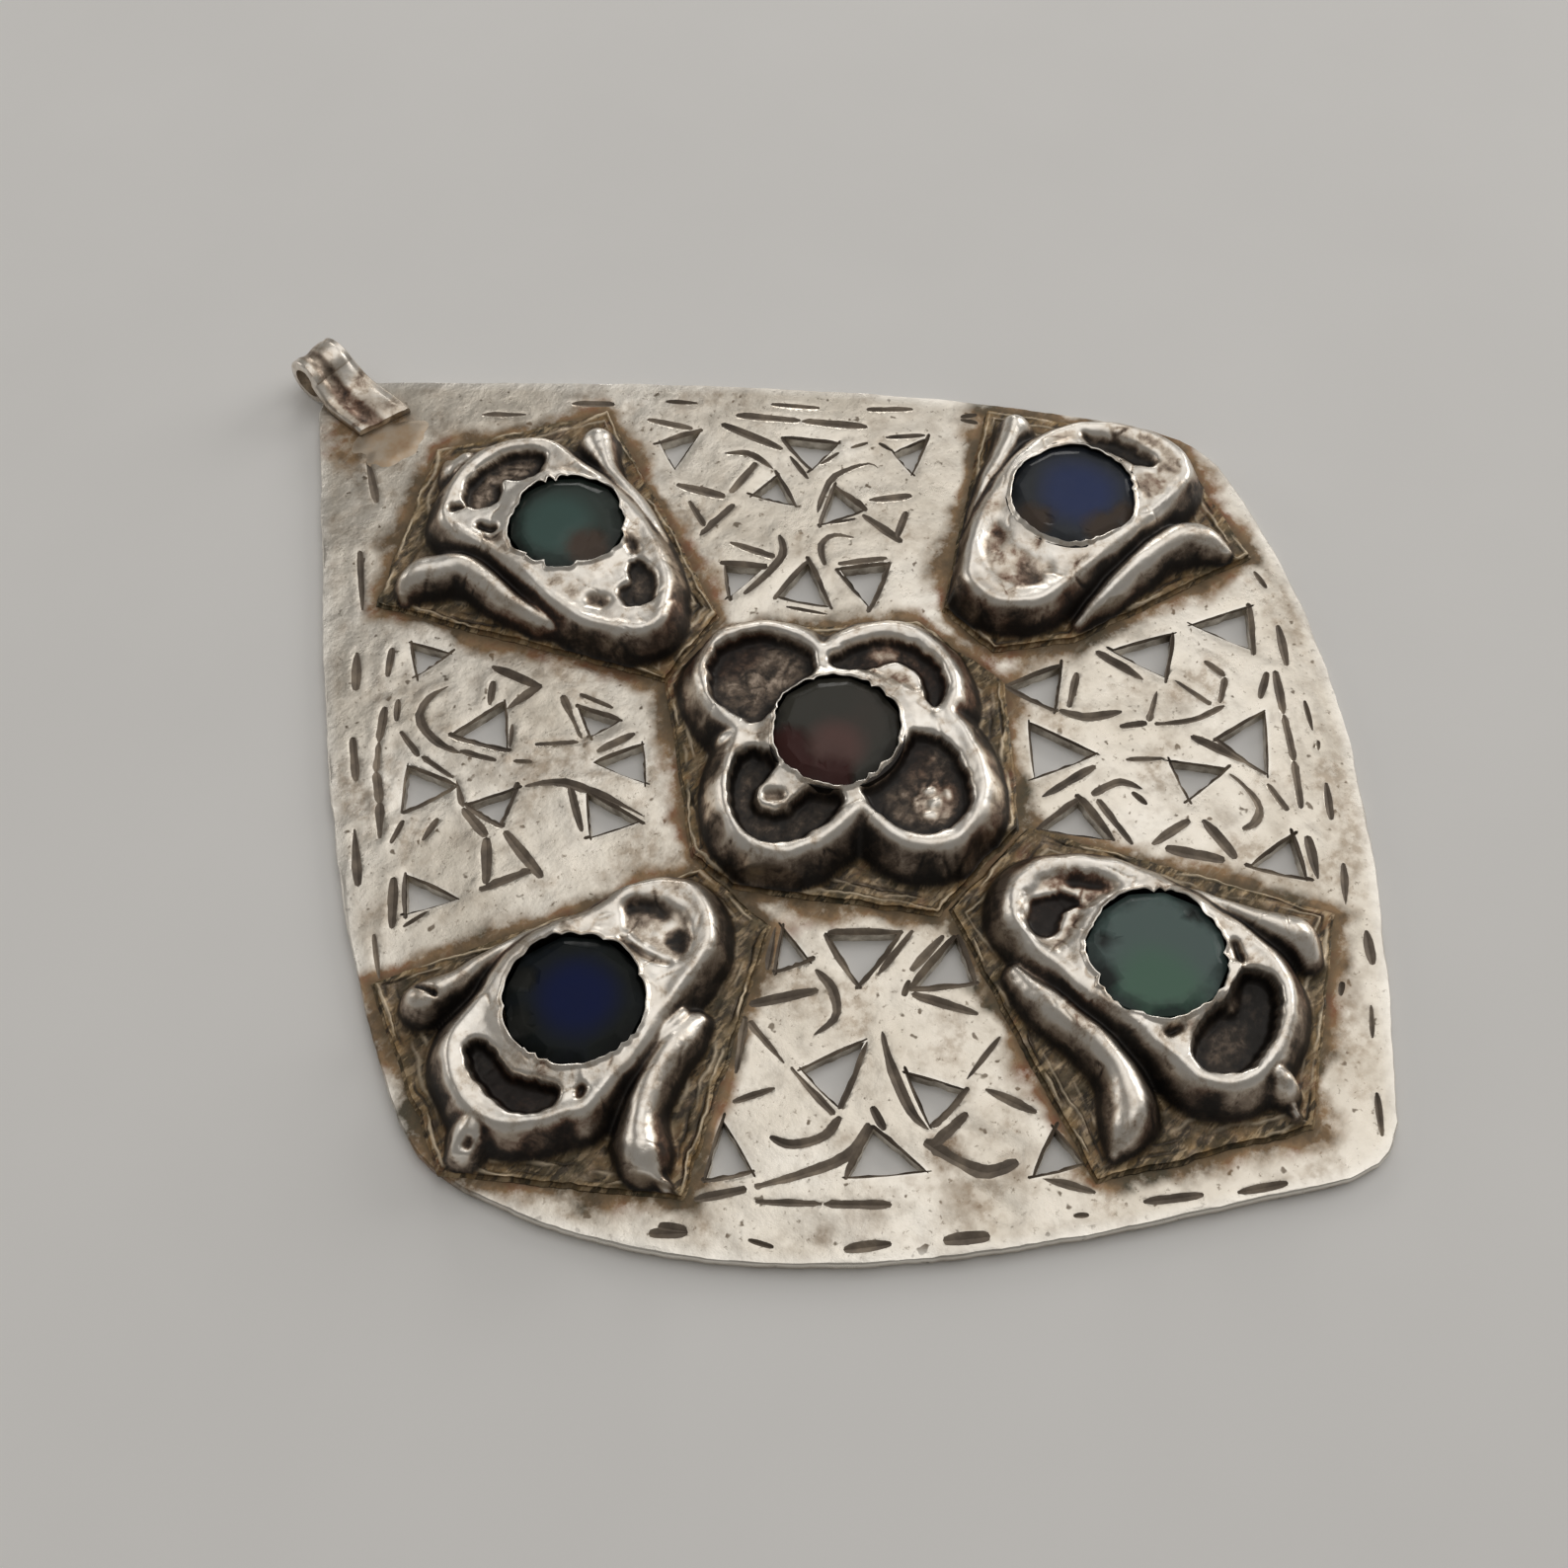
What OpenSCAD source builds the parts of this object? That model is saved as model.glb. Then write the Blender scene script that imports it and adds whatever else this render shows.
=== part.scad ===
// Silver pendant of a pierced lozenge plate, five raised plaques, five stones and a strip bail.
// It lies on its back: z = 0 is the back of the plate, +Y runs to the bail, +Z out of the face.

/* [Plate] */
// Thickness of the plate
plate_t = 0.85; // [0.6:0.05:1.2]
// Top corner of the plate, under the bail, from the middle stone
top_reach = 44.5; // [44:0.1:44.6]
// Bottom corner of the plate, from the middle stone
bottom_reach = 38.5; // [38:0.1:39]
// Right corner of the plate, from the middle stone
right_reach = 33.1; // [32.8:0.1:33.6]
// Left corner of the plate, from the middle stone
left_reach = 34; // [33.8:0.1:34.5]

/* [Plaques] */
// From the middle stone to each outer stone
stone_pitch = 22; // [21.8:0.1:22.3]
// Thickness of the flat flange round each plaque
flange_t = 0.3; // [0.2:0.05:0.4]
// How far a plaque is let into the plate, so that the two are one metal
sink = 0.3; // [0.2:0.05:0.4]
// Height of the rounded rims over the flange
rim_h = 2.1; // [1.8:0.1:2.4]
// Width of the steep outside of a rim
flank_w = 1.4; // [1.2:0.1:1.6]
// Width of the slope from a rim to the floor inside it
rim_w = 0.9; // [0.7:0.1:1.2]
// Height of the floor inside the rims over the flange
floor_h = 1.4; // [1.1:0.1:1.6]
// Height of the collar round a stone over the flange
collar_h = 2.75; // [2.6:0.05:3]
// Width of the top of that collar
collar_w = 0.35; // [0.25:0.05:0.5]

/* [Stones] */
// Height of the seat under a stone, over the back of the plate
seat_z = 1.5; // [1.3:0.1:1.8]
// Gap between a stone and its setting
stone_gap = 0.1; // [0.05:0.01:0.15]
// Height of a stone from its seat to its table
stone_h = 2.1; // [1.8:0.1:2.2]
// Height of the sloping facets of a stone
crown_h = 0.5; // [0.3:0.1:0.8]
// How far the facets run in from the edge of a stone
crown_w = 0.7; // [0.5:0.1:1]
// Number of sloping facets round a stone
facets = 12; // [8:1:12]

/* [Bail] */
// Width of the strip of the bail
bail_w = 3.2; // [3:0.1:3.6]
// Diameter of the hole that a cord or chain passes through
bail_bore = 2; // [1.8:0.1:2.2]
// Thickness of the strip on its ridges
ridge_t = 0.6; // [0.5:0.05:0.7]
// Thickness of the strip in its groove
groove_t = 0.4; // [0.35:0.05:0.45]
// Middle of the hole, from the middle stone
bail_y = 44.1; // [44:0.1:44.3]
// Free end of the strip on the plate, from the middle stone
bail_end = 38.5; // [38:0.1:39]
// Place along the plate where the strip starts to rise
bail_rise = 41.6; // [41.2:0.1:41.9]

/* [Hidden] */

flange_z = plate_t + flange_t;

// Plate outline: x, y of each corner, and how far the side after it bulges at one and two thirds
plate_corners = [
    [-0.8, top_reach, 1.4, 3.9],
    [right_reach, -1.8, 6.9, 3.7],
    [-0.3, -bottom_reach, 3.6, 10.0],
    [-left_reach, 0.2, 4.5, 0.8]
];
side_steps = 8;
// The origin is the middle of the part's box, so the whole pendant is shifted by these
edge_xs = [for (p = plate_outline()) p.x];
edge_ys = [for (p = plate_outline()) p.y];
shift_x = -(min(edge_xs) + max(edge_xs)) / 2;
shift_y = -(bail_y + bail_bore / 2 + ridge_t + min(edge_ys)) / 2;

// Pierced triangles: the x and y of their three corners, panel by panel
piercings = [
    // between the top and left plaques
    [-11.1, 24.4, -12.4, 22.6, -10.2, 22.3],
    [-17.3, 18.2, -19.5, 16.3, -16.4, 15.3],
    [-13.9, 17.8, -12.6, 14.9, -10.5, 17.2],
    [-22.3, 13.0, -23.9, 11.3, -21.5, 9.9],
    [-16.7, 13.7, -16.4, 11.6, -14.4, 12.5],
    [-7.8, 13.5, -8.7, 11.8, -7.0, 11.3],
    [-9.9, 10.2, -9.0, 7.2, -7.3, 9.0],
    [-11.7, 9.1, -13.6, 7.0, -11.2, 5.7],
    // between the top and right plaques
    [10.2, 23.8, 9.3, 21.8, 12.4, 22.6],
    [15.7, 18.1, 15.0, 15.2, 17.5, 15.3],
    [11.0, 16.5, 12.0, 14.2, 13.0, 16.4],
    [5.7, 14.1, 4.2, 12.4, 6.9, 12.3],
    [12.1, 11.8, 14.5, 10.6, 14.7, 13.0],
    [19.4, 12.0, 18.9, 10.2, 21.5, 11.2],
    [6.1, 10.1, 7.5, 7.4, 9.1, 10.4],
    [10.1, 8.5, 9.1, 5.5, 12.2, 6.7],
    // between the bottom and right plaques
    [10.1, -4.6, 10.6, -7.5, 13.1, -6.0],
    [8.8, -7.1, 6.1, -9.6, 9.6, -11.2],
    [16.2, -7.7, 16.7, -11.1, 19.4, -9.6],
    [20.9, -10.2, 21.7, -13.8, 24.0, -11.9],
    [3.6, -12.0, 5.6, -15.3, 6.4, -12.5],
    [12.1, -14.9, 10.8, -17.1, 13.7, -17.5],
    [15.2, -16.1, 15.1, -19.5, 18.5, -17.0],
    [9.5, -22.4, 10.8, -25.0, 12.5, -23.0],
    // between the bottom and left plaques
    [-10.9, -5.2, -12.9, -6.5, -11.4, -7.3],
    [-9.5, -7.3, -10.6, -10.4, -7.0, -10.1],
    [-16.5, -11.5, -16.8, -14.2, -13.1, -12.9],
    [-21.5, -10.3, -24.3, -11.7, -22.5, -13.1],
    [-8.7, -12.9, -6.5, -15.0, -5.0, -12.7],
    [-13.0, -15.9, -14.4, -18.5, -11.8, -18.6],
    [-19.4, -17.2, -16.6, -19.9, -16.6, -16.5],
    [-13.0, -24.4, -10.9, -25.8, -10.4, -23.7]
];

// A corner plaque is drawn with its stone at 0, 0 and its outer tip up +Y.
// Outline of each flange, cut by hand: x, y of each corner, the outer tip first
top_outline = [[0.2, 12.0], [-10.5, 6.0], [-3.1, -10.9], [2.4, -10.1], [9.6, 6.0]];
right_outline = [[-0.7, 9.3], [-10.0, 5.0], [-5.7, -7.0], [-2.5, -10.8], [1.6, -10.4], [9.4, 3.6]];
bottom_outline = [[-1.5, 11.7], [-11.2, 5.0], [-3.9, -10.5], [3.0, -10.5], [9.7, 5.5]];
left_outline = [[-0.8, 11.2], [-11.2, 4.0], [-4.2, -10.6], [1.0, -10.8], [9.7, 6.2]];
// Discs that make its raised body: x, y, radius
corner_discs = [[0, 0, 4.4], [-0.1, 3.2, 4.0], [-0.2, -4.6, 3.8], [-0.8, -7.2, 1.9]];
// Its leg, arm and knob, the knob set back from the tip: x, y, half width, height over the flange
leg = [
    [-6.2, -5.6, 0.5, 0.9], [-5.5, -2.2, 1.2, 1.8], [-5.6, 0.6, 1.4, 2.0],
    [-6.5, 2.6, 1.6, 2.0], [-8.4, 4.1, 1.8, 2.1], [-9.9, 4.8, 0.7, 0.9]
];
arm = [[3.3, -6.4, 0.5, 0.8], [4.4, -2.6, 0.9, 1.4], [5.1, 0.6, 1.0, 1.5], [6.5, 4.2, 1.5, 1.9]];
function knob(tip) = [[-0.8, tip.y - 3.3, 1.3, 1.8], [-1.0, tip.y - 2.3, 1.1, 1.5]];
// Hollows pressed into the body: x, y, half width, depth under the floor
corner_hollows = [
    [[-2.6, 4.9, 0.9, 0.9], [-0.1, 5.9, 1.2, 1.1], [2.6, 4.9, 0.9, 0.9]],
    [[-2.4, -5.4, 0.8, 0.5], [-2.3, -6.0, 0.8, 0.5]],
    [[-0.2, -6.3, 1.1, 0.7], [1.0, -5.9, 1.1, 0.7]]
];

// The middle plaque: outline of its flange, the discs of its body and the hollow in each lobe
center_outline = [
    [-3.2, 10.8], [-10.8, 1.7], [-10.8, -1.3], [-4.6, -11], [2.6, -11],
    [9.9, -4.2], [9.9, 2.4], [1.6, 10.8]
];
center_discs = [[0, 0, 5.5], [0, 6.2, 3.4], [4.9, 0, 3.5], [0, -6.2, 3.4], [-4.9, 0, 3.6]];
center_hollows = [
    [[-1.3, 6.4, 1.5, 0.9], [1.3, 6.4, 1.5, 0.9]],
    [[-1.2, -6.2, 1.5, 0.8], [1.2, -6.2, 1.5, 0.8]],
    [[-4.6, 2.1, 0.7, 0.9], [-6.7, 0, 1.0, 1.0], [-4.6, -2.4, 0.8, 0.9]],
    [[4.6, 2.3, 0.7, 0.8], [6.6, 0.2, 0.9, 0.9], [4.9, -2.1, 0.7, 0.8]]
];

// Each setting: place, turn of the plaque, mirrored or not, radius of the stone, outline
top_setting = [[0, stone_pitch], 0, false, 3.6, top_outline];
right_setting = [[stone_pitch + 0.2, 0.2], -90, true, 4.0, right_outline];
bottom_setting = [[0, -stone_pitch], 180, true, 3.85, bottom_outline];
left_setting = [[-stone_pitch, -0.3], 90, false, 3.9, left_outline];
center_setting = [[0, 0], 0, false, 3.8, center_outline];
corner_settings = [top_setting, right_setting, bottom_setting, left_setting];

// Step between the points along a plaque's edge, and rings from its stone to that edge
edge_step = 1.05;
rings = 13;
overlap = 0.05;

bail_z = bail_bore / 2 + ridge_t;
bail_x = -0.15;
// Bands across the strip of the bail: left edge, right edge, thickness, free end
bail_bands = [
    [0, 0.7, ridge_t, bail_end + 0.3],
    [0.7, 1.35, groove_t, bail_end],
    [1.35, bail_w, ridge_t, bail_end - 0.3]
];

silver = [0.80, 0.77, 0.71];

function mix(a, b, t) = a + (b - a) * t;
function limit(t) = max(0, min(1, t));
function ease(t) = let (u = limit(t)) u * u * (3 - 2 * u);
function flat(p) = [p.x, p.y];

// Points along one side of the plate, on a cubic curve from corner a to corner b
function side_points(a, b) =
    let (run = flat(b) - flat(a), out = [-run.y, run.x] / norm(run))
    [for (i = [0 : side_steps - 1])
        let (t = i / side_steps, u = 1 - t)
        flat(a) + run * t + out * (3 * t * u * u * a[2] + 3 * t * t * u * a[3])];

// Corners cut once, so that the outline turns smoothly
function cut_corners(points) =
    [for (i = [0 : len(points) - 1])
        let (a = points[i], b = points[(i + 1) % len(points)])
        each [mix(a, b, 0.25), mix(a, b, 0.75)]];

function plate_outline() = cut_corners(
    [for (i = [0 : 3]) each side_points(plate_corners[i], plate_corners[(i + 1) % 4])]);

// Round profile: 1 on a crest, 0 at g = 1
function dome(g) = g >= 1 ? 0 : 1 - g * g;

// Height at p of a round ridge that runs through the rows x, y, half width, height
function span_height(p, a, b) =
    let (
        run = flat(b) - flat(a),
        t = limit(((p - flat(a)) * run) / (run * run)),
        q = mix(a, b, t)
    ) q[3] * dome(norm(p - flat(q)) / q[2]);
function ridge_height(p, rows) =
    max([for (i = [0 : len(rows) - 2]) span_height(p, rows[i], rows[i + 1])]);

// Height of a body made of discs: a rounded rim with a lower floor inside it
function body_height(p, discs, hollows) =
    let (
        d = max([for (c = discs) c[2] - norm(p - flat(c))]),
        dip = max([for (h = hollows) ridge_height(p, h)]) * ease(d / rim_w)
    )
    d < 0 ? rim_h * dome(-d / flank_w)
    : mix(rim_h, floor_h, ease(d / rim_w)) - dip;

// Height of the collar that holds a stone of radius r
function collar_height(p, r) = collar_h * (1 - ease((norm(p) - r - collar_w) / 0.8));

// Height over the flange of a corner plaque with its tip there, and of the middle plaque
function corner_height(p, r, tip) = max(
    collar_height(p, r), body_height(p, corner_discs, corner_hollows),
    ridge_height(p, leg), ridge_height(p, arm), ridge_height(p, knob(tip)));
function center_height(p, r) =
    max(collar_height(p, r), body_height(p, center_discs, center_hollows));

// Points spread along a closed outline, every corner among them
function spread(outline) =
    [for (i = [0 : len(outline) - 1])
        let (a = outline[i], b = outline[(i + 1) % len(outline)], n = ceil(norm(b - a) / edge_step))
        for (j = [0 : n - 1]) mix(a, b, j / n)];

// A raised plaque: rings of points run from the wall of the setting out to the flange's edge
module relief(outline, r, at_corner) {
    edge = spread(outline);
    n = len(edge);
    wall = r + stone_gap;
    inner = [for (e = edge) e * wall / norm(e)];
    top = [for (i = [0 : rings])
        [for (k = [0 : n - 1])
            let (p = mix(inner[k], edge[k], i / rings),
                h = i == rings ? 0
                    : at_corner ? corner_height(p, r, outline[0])
                    : center_height(p, r))
            [p.x, p.y, flange_z + h]]];
    levels = concat(
        [[for (p = inner) [p.x, p.y, seat_z]]],
        top,
        [[for (p = edge) [p.x, p.y, plate_t - sink]]]);
    last = len(levels) - 1;
    seat_middle = len(levels) * n;
    back_middle = seat_middle + 1;
    points = concat(
        [for (level = levels) each level], [[0, 0, seat_z]], [[0, 0, plate_t - sink]]);
    faces = [for (k = [0 : n - 1]) let (m = (k + 1) % n) each concat(
        [[seat_middle, m, k], [back_middle, last * n + k, last * n + m]],
        [for (i = [0 : last - 1])
            let (a = i * n + k, b = i * n + m) each [[a, b, b + n], [a, b + n, a + n]]])];
    polyhedron(points, faces, convexity = 8);
}

module place(setting) {
    translate([setting[0].x, setting[0].y, 0])
        rotate([0, 0, setting[1]])
            mirror([setting[2] ? 1 : 0, 0, 0])
                children();
}

module plate() {
    linear_extrude(plate_t)
        difference() {
            polygon(plate_outline());
            for (t = piercings) polygon([[t[0], t[1]], [t[2], t[3]], [t[4], t[5]]]);
        }
}

module corner_plaque(setting) {
    place(setting) relief(setting[4], setting[3], true);
}

module center_plaque() {
    place(center_setting) relief(center_setting[4], center_setting[3], false);
}

// Side view of the bail: free end on the plate, rise, and a ring that turns under to the plate
module bail_profile(t, end) {
    outer = bail_bore / 2 + t;
    start = [bail_rise, plate_t + t];
    to_start = start - [bail_y, bail_z];
    touch_angle = atan2(to_start.y, to_start.x) - acos(outer / norm(to_start));
    touch = [bail_y, bail_z] + outer * [cos(touch_angle), sin(touch_angle)];
    foot = plate_t - sink;
    difference() {
        union() {
            translate([bail_y, bail_z]) circle(outer, $fn = 64);
            polygon([
                [end, foot], [bail_y - bail_bore / 2, foot], [bail_y, bail_z],
                touch, start, [end, plate_t + t]
            ]);
        }
        translate([bail_y, bail_z]) circle(d = bail_bore, $fn = 64);
    }
}

module bail() {
    for (band = bail_bands)
        translate([bail_x - bail_w / 2 + band[0], 0, 0])
            rotate([90, 0, 90])
                linear_extrude(band[1] - band[0]) bail_profile(band[2], band[3]);
}

module silver_mount() {
    color(silver) union() {
        plate();
        for (setting = corner_settings) corner_plaque(setting);
        center_plaque();
        bail();
    }
}

// A cut stone: a straight girdle, a ring of sloping facets and a flat table
module stone(setting, tint) {
    girdle_h = stone_h - crown_h;
    z0 = seat_z + stone_gap;
    color(tint) translate([setting[0].x, setting[0].y, z0]) {
        cylinder(girdle_h + overlap, r = setting[3], $fn = facets);
        translate([0, 0, girdle_h])
            cylinder(crown_h, r1 = setting[3], r2 = setting[3] - crown_w, $fn = facets);
    }
}

module at_origin() { translate([shift_x, shift_y, 0]) children(); }

at_origin() silver_mount();
at_origin() stone(top_setting, [0.22, 0.28, 0.26]);  // stone_top
at_origin() stone(right_setting, [0.12, 0.16, 0.30]);  // stone_right
at_origin() stone(bottom_setting, [0.30, 0.38, 0.34]);  // stone_bottom
at_origin() stone(left_setting, [0.07, 0.10, 0.22]);  // stone_left
at_origin() stone(center_setting, [0.30, 0.12, 0.12]);  // stone_center
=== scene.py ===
import math
import bmesh
import bpy
import numpy as np
from mathutils import Matrix, Vector


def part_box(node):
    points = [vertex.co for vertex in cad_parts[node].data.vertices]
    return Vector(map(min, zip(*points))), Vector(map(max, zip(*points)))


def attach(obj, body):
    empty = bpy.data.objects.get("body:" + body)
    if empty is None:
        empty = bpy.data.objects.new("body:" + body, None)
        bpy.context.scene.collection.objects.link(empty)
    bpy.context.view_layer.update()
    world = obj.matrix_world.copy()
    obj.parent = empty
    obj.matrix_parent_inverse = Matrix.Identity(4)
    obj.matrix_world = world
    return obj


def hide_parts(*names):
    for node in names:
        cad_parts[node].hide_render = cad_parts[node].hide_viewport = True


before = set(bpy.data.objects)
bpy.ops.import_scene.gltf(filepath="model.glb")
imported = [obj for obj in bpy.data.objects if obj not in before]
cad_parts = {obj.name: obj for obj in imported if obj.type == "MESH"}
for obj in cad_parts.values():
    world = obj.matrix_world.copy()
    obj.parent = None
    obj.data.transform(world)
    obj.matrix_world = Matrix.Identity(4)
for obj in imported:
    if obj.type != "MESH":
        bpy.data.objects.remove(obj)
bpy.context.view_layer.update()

# Lengths below are millimetres from the axis of the middle stone, +Y to the bail, z from the back
MM = 0.001
stone_low, stone_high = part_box("stone_center")
MIDDLE = np.array([(stone_low[0] + stone_high[0]) / 2, (stone_low[1] + stone_high[1]) / 2, 0.0]) / MM

PLATE_T = 0.85
FLANGE_Z = 1.15
LIP_RISE = 2.6  # of a collar's torn edge over the flange
COLLAR_Z = 3.88  # top of the collars
SEAT_Z, GIRDLE_Z, TABLE_Z = 1.6, 3.38, 3.62  # bottom, edge and flat top of a stone

# Plate outline: x, y of each corner, and how far the side after it bulges at one and two thirds
PLATE_CORNERS = [
    (-0.8, 44.5, 1.4, 3.9), (33.1, -1.8, 6.9, 3.7), (-0.3, -38.5, 3.6, 10), (-34, 0.2, 4.5, 0.8),
]

# Pierced triangles: x and y of their corners, panel by panel
PIERCINGS = [
    (-11.1, 24.4, -12.4, 22.6, -10.2, 22.3), (-17.3, 18.2, -19.5, 16.3, -16.4, 15.3),
    (-13.9, 17.8, -12.6, 14.9, -10.5, 17.2), (-22.3, 13, -23.9, 11.3, -21.5, 9.9),
    (-16.7, 13.7, -16.4, 11.6, -14.4, 12.5), (-7.8, 13.5, -8.7, 11.8, -7, 11.3),
    (-9.9, 10.2, -9, 7.2, -7.3, 9), (-11.7, 9.1, -13.6, 7, -11.2, 5.7), (10.2, 23.8, 9.3, 21.8, 12.4, 22.6),
    (15.7, 18.1, 15, 15.2, 17.5, 15.3), (11, 16.5, 12, 14.2, 13, 16.4), (5.7, 14.1, 4.2, 12.4, 6.9, 12.3),
    (12.1, 11.8, 14.5, 10.6, 14.7, 13), (19.4, 12, 18.9, 10.2, 21.5, 11.2),
    (6.1, 10.1, 7.5, 7.4, 9.1, 10.4), (10.1, 8.5, 9.1, 5.5, 12.2, 6.7), (10.1, -4.6, 10.6, -7.5, 13.1, -6),
    (8.8, -7.1, 6.1, -9.6, 9.6, -11.2), (16.2, -7.7, 16.7, -11.1, 19.4, -9.6),
    (20.9, -10.2, 21.7, -13.8, 24, -11.9), (3.6, -12, 5.6, -15.3, 6.4, -12.5),
    (12.1, -14.9, 10.8, -17.1, 13.7, -17.5), (15.2, -16.1, 15.1, -19.5, 18.5, -17),
    (9.5, -22.4, 10.8, -25, 12.5, -23), (-10.9, -5.2, -12.9, -6.5, -11.4, -7.3),
    (-9.5, -7.3, -10.6, -10.4, -7, -10.1), (-16.5, -11.5, -16.8, -14.2, -13.1, -12.9),
    (-21.5, -10.3, -24.3, -11.7, -22.5, -13.1), (-8.7, -12.9, -6.5, -15, -5, -12.7),
    (-13, -15.9, -14.4, -18.5, -11.8, -18.6), (-19.4, -17.2, -16.6, -19.9, -16.6, -16.5),
    (-13, -24.4, -10.9, -25.8, -10.4, -23.7),
]

# Chisel cuts, each struck through its points; the first number is the width of the cut
CUTS_TOP_LEFT = [
    (0.5, -13.7, 26.5, -15.7, 24.4), (0.4, -12.1, 25.1, -13.8, 23.7), (0.5, -18, 22.2, -20, 19.7),
    (0.45, -15.3, 22.3, -17.3, 20.7), (0.45, -17.2, 20.8, -18.8, 19.3), (0.5, -18.7, 19.4, -20.1, 17.6),
    (0.5, -20, 17.7, -21.7, 15.9), (0.35, -14.4, 22.1, -15.6, 21), (0.5, -22.1, 17.6, -24.6, 14.5),
    (0.35, -19.9, 15.8, -21.5, 15.2), (0.45, -15.9, 20.4, -16.4, 18.2), (0.45, -16.3, 18.2, -16.1, 15.6),
    (0.5, -11.7, 20.5, -13, 20.8, -14.3, 20.4, -14.9, 19.3, -15, 17.8, -14.6, 16.5),
    (0.45, -14.6, 16.8, -13.6, 14.6), (0.5, -9.8, 18.8, -11.2, 17.7), (0.5, -9.15, 19.7, -8.3, 16.3),
    (0.5, -10.8, 16.8, -8.1, 16.4), (0.4, -11.2, 15.8, -12.5, 14.7), (0.45, -16, 15.6, -17.1, 13.8),
    (0.55, -17.1, 13.9, -17.6, 11.4), (0.55, -17.6, 11.4, -19.8, 9.2), (0.4, -18.5, 14.4, -20.2, 14),
    (0.55, -16.65, 11, -17.4, 7.1), (0.5, -20.3, 9.3, -17.4, 8), (0.5, -22.8, 13.5, -25.2, 11.15),
    (0.35, -24.7, 10.8, -23, 10.5), (0.45, -11.4, 13.8, -9.5, 11.9), (0.35, -13, 13.9, -12.3, 13),
    (0.5, -7.85, 15, -9.3, 11.9), (0.4, -7.1, 14.3, -6.5, 12), (0.5, -9.4, 10.7, -6.9, 9.85),
    (0.5, -13.8, 12.2, -12.1, 10.6, -11, 7.1, -10.7, 5.5), (0.4, -12, 10.3, -13.8, 7.5),
]
CUTS_TOP_RIGHT = [
    (0.5, 11, 25.9, 12.4, 23), (0.35, 12.9, 26, 14.2, 24.3), (0.5, 13.85, 22, 14.9, 17.5),
    (0.5, 15, 21.8, 17.5, 18.2), (0.5, 17.4, 18.3, 19.9, 14.6), (0.4, 17.2, 20.7, 19.1, 18),
    (0.4, 20.9, 15.7, 23, 13.4), (0.55, 8.3, 20.8, 9.6, 17.7), (0.45, 7.9, 19.3, 7, 17.1),
    (0.5, 6.2, 16.9, 9.6, 16.9), (0.5, 10, 17.7, 13, 18.1), (0.4, 12.2, 20.2, 13.2, 18.9, 13.3, 16.9),
    (0.4, 14.8, 16.9, 14.1, 14.7), (0.4, 15.5, 15, 17.1, 14.7), (0.3, 17.8, 14.4, 18.9, 13.8),
    (0.5, 7.1, 15.2, 8.1, 12.2), (0.45, 4.7, 11.8, 8.3, 11.9, 9.6, 13.2),
    (0.5, 12.4, 12.5, 13.8, 13.2, 15.3, 13.65, 16.8, 13.2, 17.7, 12.6, 17.7, 11.8),
    (0.4, 14.8, 13, 14.9, 11.5), (0.45, 12, 11.8, 13.7, 10.4), (0.5, 15.3, 10.8, 17.4, 8.9),
    (0.5, 14.2, 10.4, 14.1, 7), (0.4, 14.1, 7.5, 16.2, 8.4), (0.4, 5.7, 9.3, 7, 6.9),
    (0.4, 19.9, 13.3, 21.8, 11.4), (0.35, 19.3, 13.3, 19.4, 12.1),
    (0.5, 9.6, 9.5, 10.7, 10.7, 11.8, 10.6, 12.5, 9.5), (0.4, 9.9, 8.9, 9.2, 6), (0.5, 10.2, 9, 12.65, 6.9),
    (0.35, 24.4, 10.7, 25.3, 10),
]
CUTS_BOTTOM_RIGHT = [
    (0.45, 13.5, -7, 11.1, -8.2), (0.5, 10.6, -7.8, 11.3, -9.4, 13, -10.7), (0.5, 15.4, -6.9, 15.65, -10.4),
    (0.5, 5.15, -10.7, 9, -11.8), (0.4, 12, -11.2, 13.3, -12.3), (0.45, 15.6, -11.35, 13.4, -12.3),
    (0.4, 13.5, -12.65, 15.3, -14.2, 17.3, -15), (0.5, 16.85, -11.6, 16.8, -14.4),
    (0.4, 19.1, -12.2, 19, -13.85), (0.4, 19, -13.85, 17.2, -14.7), (0.45, 10.4, -12.8, 12.1, -14.6),
    (0.5, 7.2, -13.2, 6.1, -16.6), (0.5, 7.2, -12.8, 9, -13.5, 9.5, -14.8), (0.4, 8.9, -14.4, 8.8, -15.6),
    (0.5, 14.2, -14.7, 14.9, -18.3), (0.5, 6.8, -17.3, 9.6, -18), (0.6, 7.1, -18, 8.7, -21.1),
    (0.55, 10.1, -18.5, 9.2, -21.5), (0.5, 13.6, -17.8, 13.5, -19, 12.9, -20.5, 11.8, -20.9, 11, -20.6),
    (0.45, 14.5, -19.9, 13.7, -21.9), (0.4, 20.9, -15.5, 19, -16.3), (0.5, 24.2, -14, 22, -16.2),
    (0.45, 21.3, -15.8, 19, -18), (0.45, 19.1, -17.9, 16.7, -20.3), (0.45, 16.8, -20.2, 14.3, -22.4),
    (0.35, 20.7, -18.3, 19.2, -19.9), (0.45, 16.8, -22.4, 14.8, -24.1), (0.5, 13.1, -23.6, 11.1, -25.7),
    (0.35, 18.9, -20.5, 18.3, -20.9), (0.4, 26.6, -10.6, 26, -12),
]
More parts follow.
